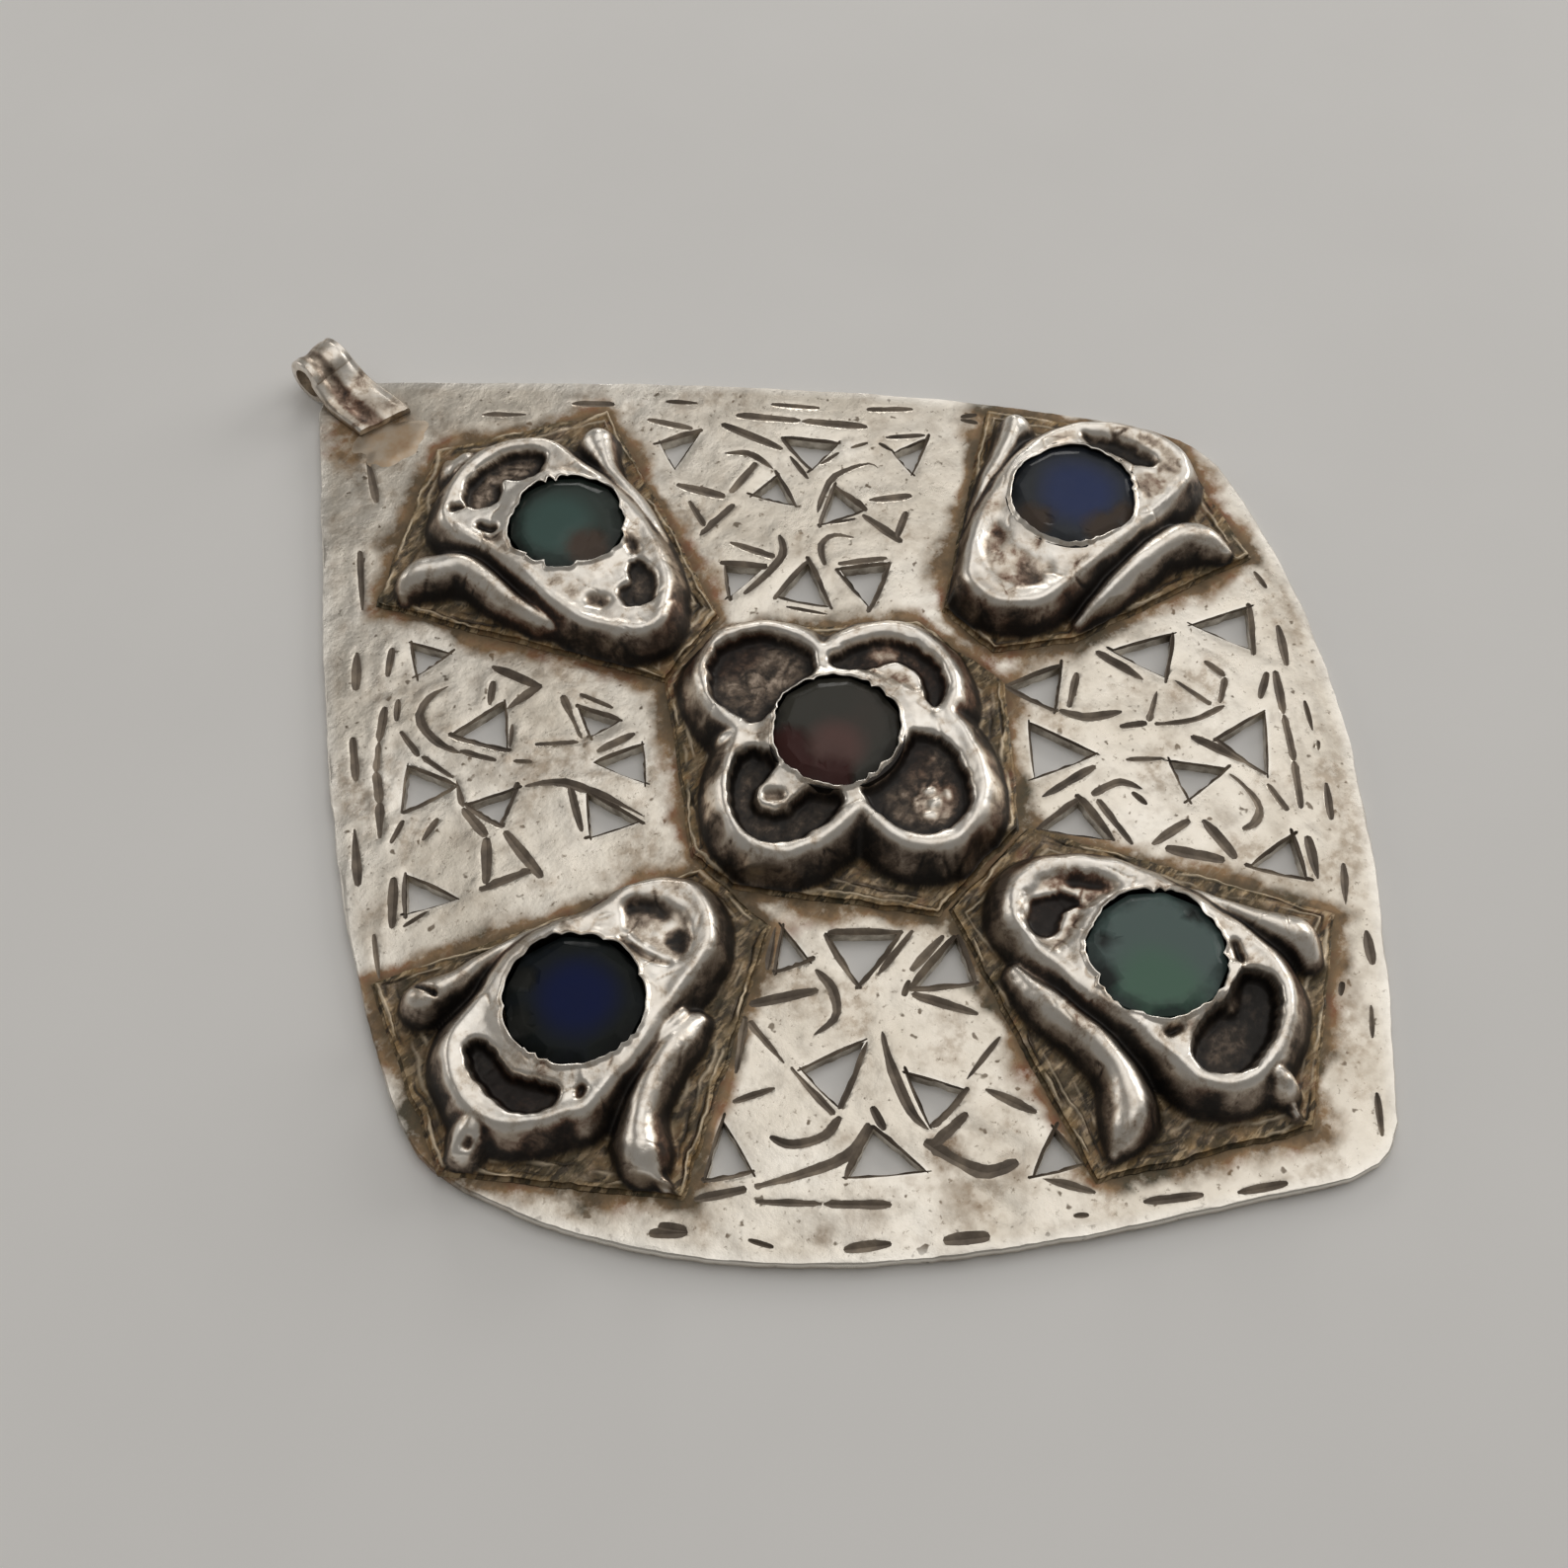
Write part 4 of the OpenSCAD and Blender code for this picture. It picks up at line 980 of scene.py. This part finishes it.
def plaque_height(plaque, x, y):
    """Height of a plaque over its flange, with its patina, hollows and creases."""
    bend_x, bend_y = x + WANDER * ripple(x, y, 3.0, 41), y + WANDER * ripple(x, y, 3.0, 42)
    depth = edge_distance(bend_x, bend_y, smooth_path(plaque["crest"], 5, closed=True))
    near = np.hypot(x - plaque["at"][0], y - plaque["at"][1]) - plaque["opening"]
    rim, floor = plaque["rim"], plaque["floor"]
    outside = np.clip(-depth / plaque["flank"], 0, 1)
    inside = floor + (rim - floor) * (1 - ease((depth - 0.05) / 0.7))
    inside += COLLAR_SWELL * (1 - ease((near - 0.1) / 1.0))
    height = np.where(depth < 0, rim * (1 - outside ** 1.4) ** 0.95, inside)
    patina = ease((outside - 0.02) * 2.7)
    for rows in plaque["ridges"]:
        share, ridge = ridge_level(bend_x, bend_y, rows, 0.80)
        over = ease((ridge - height) / 0.3 + 0.5) * (share > 0)
        patina = patina * (1 - over) + over * (1 - ease((share - 0.30) / 0.50))
        height = soft_max(height, ridge, FILLET)

    hollow = np.zeros(x.shape)
    notch = 0.06 * ripple(x, y, 1.1, 74) + 0.04 * ripple(x, y, 0.5, 75)
    for sink, slope_width, loop in plaque["hollows"]:
        into = edge_distance(bend_x, bend_y, smooth_path(loop, 4, closed=True)) + 0.12 + notch
        hollow = np.maximum(hollow, sink * ease((into + slope_width * 0.25) / slope_width))
    for rows in plaque["dents"]:
        level = ridge_level(bend_x, bend_y, rows, 1.0)[0]
        hollow += max(row[3] for row in rows) * ease(level / 0.85) * (1 - hollow / 1.4)
    hollow *= ease((near - 0.10) / 0.45)
    height = height - hollow * ease(height / 1.0)
    for rows in plaque["bumps"]:
        height += max(row[3] for row in rows) * ease(ridge_level(bend_x, bend_y, rows, 1.0)[0])

    # The skin of the casting, and creases in it
    height = blur(height, 1)
    height += (0.006 * ripple(x, y, 1.0, 61) + 0.018 * ripple(x, y, 3.4, 62)
               + 0.012 * ease(hollow / 0.8) * ripple(x, y, 0.9, 63))
    crease = np.maximum(
        np.exp(-(ripple(x, y, 4.2, 67) / 0.07) ** 2) * np.clip(0.1 + ripple(x, y, 3.6, 68), 0, 1),
        np.exp(-(ripple(x, y, 3.1, 69) / 0.06) ** 2) * np.clip(ripple(x, y, 3.0, 70), 0, 1))
    height -= 0.05 * crease * ease(height / 0.8)
    return height, patina, hollow, crease


def relief(plaque):
    """Rasters of a plaque from its low corner: height over the flange, grime with painted shade and a
    painted highlight, and where the flange is.
    """
    outline = np.array(plaque["outline"], float)
    low, high = outline.min(axis=0) - 0.6, outline.max(axis=0) + 0.6
    x, y = np.meshgrid(*(np.arange(low[i], high[i], RELIEF_CELL) for i in (0, 1)), indexing="ij")
    height, patina, hollow, crease = plaque_height(plaque, x, y)
    wide, close = blur(height, 10), blur(height, 3)
    slope = np.hypot(*np.gradient(height, RELIEF_CELL))
    # Painted shade: the lower the relief and the deeper a point lies below its neighbours, the darker; this
    # is partly grime and partly painted shade.
    cavity_shade_and_grime = 0.45 * np.clip((wide - height) / 0.8, 0, 1) + 0.22 * np.clip((close - height) / 0.14, 0, 1)
    # Crests are lightened, partly as polish and partly as a painted highlight.
    crest_polish_and_highlight = np.clip((height - close) / 0.07, 0, 1)
    dirt = (0.20 * ease((1.4 - height) / 1.1) + cavity_shade_and_grime + 0.50 * ease((hollow - 0.08) / 0.7)
            + 0.16 * ease((slope - 0.6) / 1.4) + 0.62 * patina * (0.90 + 0.25 * ripple(x, y, 3.2, 64))
            - 0.34 * crest_polish_and_highlight + 0.24 * crease)
    dirt = np.clip(dirt + spots(x, y, plaque["smudges"], 0.5), 0.0, 0.90)
    flange = ease((0.28 - height) / 0.2)
    # The flange's own tone, darkened as painted shade at the foot of the body.
    flange_tone_and_shade = 0.52 + 0.45 * cavity_shade_and_grime + 0.12 * ripple(x, y, 2.4, 71) + 0.08 * ripple(x, y, 0.9, 72)
    dirt = dirt * (1 - flange) + flange * flange_tone_and_shade
    return low, height, np.clip(dirt + 0.05, 0, 1), flange


def sample(grid, low, x, y):
    """Reads a raster between its cells."""
    u = np.clip((x - low[0]) / RELIEF_CELL, 0, grid.shape[0] - 1.001)
    v = np.clip((y - low[1]) / RELIEF_CELL, 0, grid.shape[1] - 1.001)
    i, j = u.astype(int), v.astype(int)
    a, b = u - i, v - j
    return ((grid[i, j] * (1 - a) + grid[i + 1, j] * a) * (1 - b)
            + (grid[i, j + 1] * (1 - a) + grid[i + 1, j + 1] * a) * b)


def flange_edge(plaque):
    """Points along the edge of a flange, anticlockwise from the corner that is nearest to +X."""
    outline, at = np.array(plaque["outline"], float), plaque["at"]
    if sum(a[0] * b[1] - a[1] * b[0] for a, b in zip(outline, np.roll(outline, -1, axis=0))) < 0:
        outline = outline[::-1]
    start = np.argmin(np.abs(np.arctan2(outline[:, 1] - at[1], outline[:, 0] - at[0])))
    outline = np.roll(outline, -start, axis=0)
    edge = []
    for a, b in zip(outline, np.roll(outline, -1, axis=0)):
        n = max(int(np.linalg.norm(b - a) / EDGE_STEP), 2)
        edge += [a + (b - a) * k / n for k in range(n)]
    return np.array(edge)


def torn_edge(plaque, angle, seed):
    """Radius of a collar's torn edge, by the angle round its stone."""
    r, ragged = plaque["opening"], plaque["ragged"]
    x, y = np.cos(angle) * r, np.sin(angle) * r
    teeth = np.abs(((angle * r / TOOTH + 0.9 * ripple(x, y, 5.0, seed + 4)) % 1.0) - 0.5) * 2
    bite = np.clip(0.5 + 0.7 * ripple(x, y, 4.0, seed + 8), 0.05, 1.0) * ragged
    return (r + 0.05 - 0.26 * bite * teeth ** 1.6 + 0.09 * ripple(x, y, 4.5, seed + 5)
            + 0.03 * ragged * ripple(x, y, 0.9, seed + 6))


def scraped_lines(px, py, edge_gap, seed):
    """Wavy scraped lines that come and go along a flange."""
    lines = np.zeros(px.shape)
    for number, (gap, width, rise) in enumerate(FLANGE_LINES):
        wavy = gap + 0.16 * ripple(px, py, 6.0, seed + 20 + number) + 0.04 * ripple(px, py, 1.3, seed + 40)
        shown = np.clip(0.35 + 0.9 * ripple(px, py, 4.5, seed + 30 + number), 0, 1)
        lines += rise * shown * np.exp(-((edge_gap - wavy) / width) ** 2)
    return lines


def make_plaque(name, plaque, seed):
    """Rings from a collar's torn edge over the relief to the flange's edge, down a skirt and up a wall."""
    at, edge = np.array(plaque["at"]), flange_edge(plaque)
    run = edge - at
    reach = np.linalg.norm(run, axis=1)
    way = run / reach[:, None]
    reach += (0.06 * ripple(*edge.T, 3.2, seed) + 0.03 * ripple(*edge.T, 0.9, seed + 1)) - 0.05
    angle = np.arctan2(way[:, 1], way[:, 0])
    lip = torn_edge(plaque, angle, seed)
    lip_end = plaque["opening"] + LIP_WIDE
    field = LIP_RINGS + FIELD_RINGS
    count, turns = field + len(SKIRT) + len(WALL) + 1, len(edge)
    radius, z, seam, line = (np.zeros((count, turns)) for _ in range(4))
    dirt = np.ones((count, turns))
    lip_steps, field_steps = np.arange(LIP_RINGS)[:, None], np.arange(FIELD_RINGS)[:, None]
    radius[:LIP_RINGS] = lip + (lip_end - lip) * lip_steps / LIP_RINGS
    radius[LIP_RINGS:field] = lip_end + (reach - lip_end) * field_steps / (FIELD_RINGS - 1)
    low, height_grid, dirt_grid, flange_grid = relief(plaque)
    px, py = (at[i] + way[:, i] * radius[:field] for i in (0, 1))
    edge_gap = reach - radius[:field]
    flange = sample(flange_grid, low, px, py)
    dirt[:field] = sample(dirt_grid, low, px, py)
    # The line mask also places the painted highlight and painted shade of the scraped lines.
    line[:field] = scraped_lines(px, py, edge_gap, seed) * flange
    seam[:field] = np.clip(flange * (0.62 + 0.33 * np.exp(-(edge_gap / 0.50) ** 2)), 0, 1)
    z[:field] = np.minimum(FLANGE_Z + sample(height_grid, low, px, py),
                           FLANGE_Z + 0.02 + 2.6 * ease(edge_gap / 1.1)) + 0.09 * line[:field]
    lip_top = FLANGE_Z + LIP_RISE + 0.03 * np.sin(5 * angle + seed) + 0.02 * np.sin(13 * angle + 2 * seed)
    share = ease((lip + LIP_FALL - radius[:LIP_RINGS]) / LIP_FALL)
    z[:LIP_RINGS] = z[:LIP_RINGS] * (1 - share) + lip_top * share
    dirt[:LIP_RINGS] = dirt[:LIP_RINGS] * (1 - share) + 0.02 * share
    z[:field] = np.minimum(z[:field], COLLAR_Z)
    z[0] = lip_top - 0.05
    for k, (out, drop) in enumerate(SKIRT, field):
        radius[k], z[k], dirt[k] = reach + out, FLANGE_Z + drop, 0.75
        seam[k] = 0.85 if k < field + 3 else 0.3
    for k, (clear, level) in enumerate(WALL, field + len(SKIRT)):
        radius[k], z[k] = plaque["r"] + clear, level
    radius[-1], z[-1] = lip, z[0] - 0.14
    piece = new_piece(name, rolled_sheet(count, turns, closed=True))
    ring, column = ring_and_column(piece, count, turns, closed=True)
    set_points(piece, at + way[column] * radius[ring, column][:, None], z[ring, column])
    rework(piece.data, face_outwards)
    set_wear(piece, dirt=dirt[ring, column], seam=seam[ring, column], line=line[ring, column])
    piece.data.materials.append(CAST)
    smooth_faces(piece, 55)
    return piece


# Stones

STONE_FIT = 0.03  # how much smaller a stone is than its seat
TABLE_INSET = 0.72
EDGE_ROUND = 0.05
LONGEST_EDGE = 0.5


def make_stone(name, node, plaque, glass, facets, seed, heart, chips):
    """A round stone with a flat table; heart and chips are x, y, radius, from the stone's centre."""
    r = plaque["r"] - STONE_FIT
    rng = np.random.default_rng(seed)
    bm = bmesh.new()
    bmesh.ops.create_cone(bm, cap_ends=True, segments=facets, radius1=r, radius2=r, depth=GIRDLE_Z - SEAT_Z)
    top = [f for f in bm.faces if f.normal.z > 0.9]
    bmesh.ops.inset_region(bm, faces=top, thickness=TABLE_INSET, depth=0.0, use_even_offset=True)
    for vert in [v for v in bm.verts if v.co.z > 0 and v.co.xy.length < r - 0.4]:
        vert.co.z += TABLE_Z - GIRDLE_Z
        vert.co.xy *= 1 + rng.uniform(-0.07, 0.05)
    sharp = [e for e in bm.edges if e.calc_length() > EDGE_ROUND]
    bmesh.ops.bevel(bm, geom=sharp, offset=EDGE_ROUND, segments=2, profile=0.5, affect="EDGES", material=-1)
    bmesh.ops.triangulate(bm, faces=[f for f in bm.faces if len(f.verts) > 4])
    for _ in range(3):
        long = [e for e in bm.edges if e.calc_length() > LONGEST_EDGE]
        bmesh.ops.subdivide_edges(bm, edges=long, cuts=1, use_grid_fill=False)
        bmesh.ops.triangulate(bm, faces=[f for f in bm.faces if len(f.verts) > 4])
    drop_spare_points(bm)
    piece = new_piece(name, bm)
    x, y, z = get_points(piece).T
    z = z + (GIRDLE_Z + SEAT_Z) / 2
    chip = np.zeros(len(x))
    for chip_x, chip_y, size in chips:
        near = np.clip(1 - np.hypot(x - chip_x, y - chip_y) / size, 0, 1)
        chip = np.maximum(chip, ease(near * 2.2 + 0.5 * ripple(x, y, 1.1, seed) * near))
    loss = chip * 0.10 + np.clip(chip * 3, 0, 1) * 0.03 * np.abs(ripple(x, y, 0.9, seed + 1))
    set_points(piece, x + plaque["at"][0], y + plaque["at"][1], z - loss * (z > 3))
    glow_x, glow_y, glow_r = heart
    set_wear(piece, chip=chip, glow=ease((1 - np.hypot(x - glow_x, y - glow_y) / glow_r) * 1.6),
             edge=np.clip((np.hypot(x, y) - (r - 1.5)) / 1.3, 0, 1))
    piece.data.materials.append(glass)
    smooth_faces(piece, 10)
    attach(piece, "root")
    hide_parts(node)
    return piece


# Bail

BORE_Y, BORE_Z, BORE_R = 44.1, 1.6, 1.02
STRIP_T, GROOVE_T = 0.575, 0.44  # thickness on the ridges and in the grooves
STRIP_LIE = [(38.45, PLATE_T), (39.4, PLATE_T + 0.01), (40.6, PLATE_T + 0.04), (41.5, PLATE_T + 0.16),
             (42.2, 1.25)]  # y and z of the strip's back, from its end to the loop
STRIP_ACROSS = 30


def make_bail():
    """A grooved strip that lies on the plate's top corner and turns under into a loop."""
    turns = np.radians(158 - np.arange(14) * 300 / 13)
    arc = [(BORE_Y + BORE_R * math.cos(turn), BORE_Z + BORE_R * math.sin(turn)) for turn in turns]
    path = smooth_path(STRIP_LIE + arc, 5)
    along = len(path) - 1
    bm = bmesh.new()
    bmesh.ops.create_grid(bm, x_segments=STRIP_ACROSS, y_segments=along, size=1.0)
    bmesh.ops.solidify(bm, geom=bm.faces[:], thickness=0.5)  # only to tell back from front
    piece = new_piece("bail", bm)
    grid_x, grid_y, grid_z = get_points(piece).T
    u = (grid_x + 1) / 2
    v = np.clip(np.rint((grid_y + 1) / 2 * along).astype(int), 0, along)
    upper = grid_z > grid_z.mean()
    run = np.gradient(path, axis=0)
    run /= np.linalg.norm(run, axis=1)[:, None]
    tail = ease((v / along - 0.15) / 0.3)
    left, right = -2.1 + 0.40 * tail, 1.42 - 0.10 * tail
    x = left + (right - left) * u
    profile = np.maximum.reduce([np.exp(-((u - 0.12) / 0.14) ** 4), np.exp(-((u - 0.68) / 0.22) ** 4),
                                 np.exp(-((u - 0.95) / 0.05) ** 2) * 0.75])
    soft = ease(u / 0.035) * ease((1 - u) / 0.035)
    rise = (GROOVE_T + (STRIP_T - GROOVE_T) * profile) * (0.78 + 0.22 * soft)
    rise = np.minimum(rise + 0.02 * ripple(x, path[v, 0], 1.6, 81), STRIP_T) * (0.8 + 0.2 * ease(v / 3.0))
    slant = (0.35 - 0.95 * u) * (1 - ease((v - 2) / 18))
    lift = np.where(upper, rise, 0.0)
    y, z = path[v, 0] - run[v, 1] * lift + slant, path[v, 1] + run[v, 0] * lift
    set_points(piece, x, y, np.maximum(z, 0.02))
    rework(piece.data, face_outwards)
    patch = np.clip(0.5 + 0.9 * ripple(x, path[v, 0], 1.5, 82), 0, 1)
    groove = ease((0.21 - np.abs(u - 0.33)) / 0.10)
    set_wear(piece, dirt=np.where(upper, groove * (0.22 + 0.10 * patch) + 0.09 + 0.05 * patch, 0.18),
             seam=np.zeros(len(x)))
    piece.data.materials.append(CAST)
    smooth_faces(piece, 50)
    return piece


def make_solder():
    """The flat patch of solder at the foot of the bail."""
    bm = bmesh.new()
    bmesh.ops.create_uvsphere(bm, u_segments=48, v_segments=24, radius=1.0)
    piece = new_piece("solder", bm)
    x, y, z = get_points(piece).T
    around = np.arctan2(y, x)
    grow = 1 + 0.10 * np.sin(3 * around + 1.0) + 0.06 * np.sin(5 * around + 0.4) + 0.04 * np.sin(9 * around)
    turn = math.radians(-20)
    along, over = x * 2.6 * grow, y * 1.9 * grow
    out = np.clip(1 - np.hypot(x, y) ** 2, 0, 1)
    set_points(piece, -1.0 + along * math.cos(turn) - over * math.sin(turn),
               36.9 + along * math.sin(turn) + over * math.cos(turn),
               np.where(z >= 0, PLATE_T - 0.07 + 0.12 * ease(out * 1.6), 0.55))
    set_wear(piece, heat=np.maximum(1 - ease((out - 0.35) * 2.2), 0.9 * ease(-x * 1.5)))
    piece.data.materials.append(solder_metal())
    smooth_faces(piece)
    return piece


plate = make_plate()
made = {name: make_plaque(name, plaque, 100 + 7 * i) for i, (name, plaque) in enumerate(PLAQUES.items())}
bail = make_bail()
solder = make_solder()
for piece in (plate, bail, solder, *made.values()):
    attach(piece, "root")
    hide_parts("silver_mount")

# Each stone: its slot, colour of its body, heart and chips, gloss, facets, and places of heart and chips
STONES = {
    "top": ("green_glass_dark", (0.038, 0.052, 0.045), (0.054, 0.104, 0.092), (0.080, 0.056, 0.042),
            0.20, 12, (-0.7, 0.3, 3.2), [(-0.5, -2.2, 1.6)]),
    "right": ("blue_glass", (0.028, 0.033, 0.040), (0.020, 0.036, 0.118), (0.065, 0.045, 0.033),
              0.20, 12, (0.2, -0.2, 3.3), [(-3.2, 0.6, 1.5), (-0.9, -3.1, 1.6), (0.9, -3.4, 1.1)]),
    "bottom": ("green_glass", (0.098, 0.144, 0.136), (0.084, 0.168, 0.120), (0.022, 0.028, 0.026),
               0.22, 12, (-1.7, -1.4, 3.4), [(-3.2, 1.4, 1.2), (-1.3, 2.5, 0.6), (3.2, 0.0, 0.6)]),
    "left": ("navy_glass", (0.010, 0.013, 0.012), (0.004, 0.010, 0.060), (0.020, 0.021, 0.019),
             0.10, 10, (0.2, -0.1, 3.0), [(-2.9, 1.2, 1.0), (-1.0, 2.9, 0.9)]),
    "center": ("red_glass", (0.048, 0.046, 0.038), (0.112, 0.058, 0.050), (0.050, 0.014, 0.012),
               0.18, 12, (-1.0, -0.7, 2.4), [(-2.6, 1.4, 1.6), (-2.4, -1.7, 1.5), (-3.2, 0.0, 1.3)]),
}
for order, (name, (slot, body, glow, worn, polish, facets, heart, chips)) in enumerate(STONES.items()):
    glass = dark_glass(slot.replace("_", " "), body, glow, worn, polish)
    plaque = PLAQUES["plaque_" + name]
    stone = make_stone("glass_" + name, "stone_" + name, plaque, glass, facets, 5 + order, heart, chips)


# Floor, light and camera

PHOTO_WIDE, FOCAL = 1588.0, 2100.0  # in dots of the photograph
SENSOR = 36.0
CAMERA_AT = -49.81, -40.5, 103.07
# Each lamp: name, place in metres, width in metres, power and colour
LAMPS = [
    ("overhead", (0.159, 0.075, 0.667), 0.76, 0.84, (1.0, 0.98, 0.95)),
    ("overhead wide", (0.553, 0.018, 0.671), 1.00, 0.86, (1.0, 0.98, 0.95)),
    ("far side", (0.75, 0.66, 0.36), 0.36, 1.0, (1.0, 0.98, 0.95)),
    ("right side", (0.98, -0.25, 0.34), 0.60, 2.4, (1.0, 0.98, 0.95)),
    ("left side", (-0.30, 0.90, 0.30), 0.45, 0.7, (1.0, 0.97, 0.93)),
]

bm = bmesh.new()
bmesh.ops.create_grid(bm, x_segments=2, y_segments=2, size=2.0)
floor = new_piece("floor", bm)
floor.data.materials.append(pale_floor())

for name, place, size, power, color in LAMPS:
    lamp = bpy.data.lights.new(name, "AREA")
    lamp.shape, lamp.size, lamp.energy, lamp.color = "DISK", size, power, color
    holder = bpy.data.objects.new(name, lamp)
    holder.location = place
    holder.rotation_euler = (-Vector(place)).to_track_quat("-Z", "Y").to_euler()
    bpy.context.scene.collection.objects.link(holder)

world = bpy.data.worlds.new("studio")
world.use_nodes = True
world.node_tree.nodes["Background"].inputs["Color"].default_value = (0.215, 0.207, 0.195, 1)
world.node_tree.nodes["Background"].inputs["Strength"].default_value = 1.0
bpy.context.scene.world = world
bpy.context.scene.view_settings.view_transform = "Standard"

camera_data = bpy.data.cameras.new("camera")
camera_data.sensor_width = SENSOR
camera_data.lens = SENSOR * FOCAL / PHOTO_WIDE
camera_data.clip_start, camera_data.clip_end = 0.001, 20.0
camera = bpy.data.objects.new("camera", camera_data)
ahead = Vector((0.3846, 0.3471, -0.8553)).normalized()
right = ahead.cross(Vector((0.6447, 0.5621, 0.518))).normalized()
turned = Matrix((right, right.cross(ahead), -ahead)).transposed().to_4x4()
camera.matrix_world = Matrix.Translation(Vector(to_frame(np.array(CAMERA_AT)))) @ turned
bpy.context.scene.collection.objects.link(camera)
bpy.context.scene.camera = camera
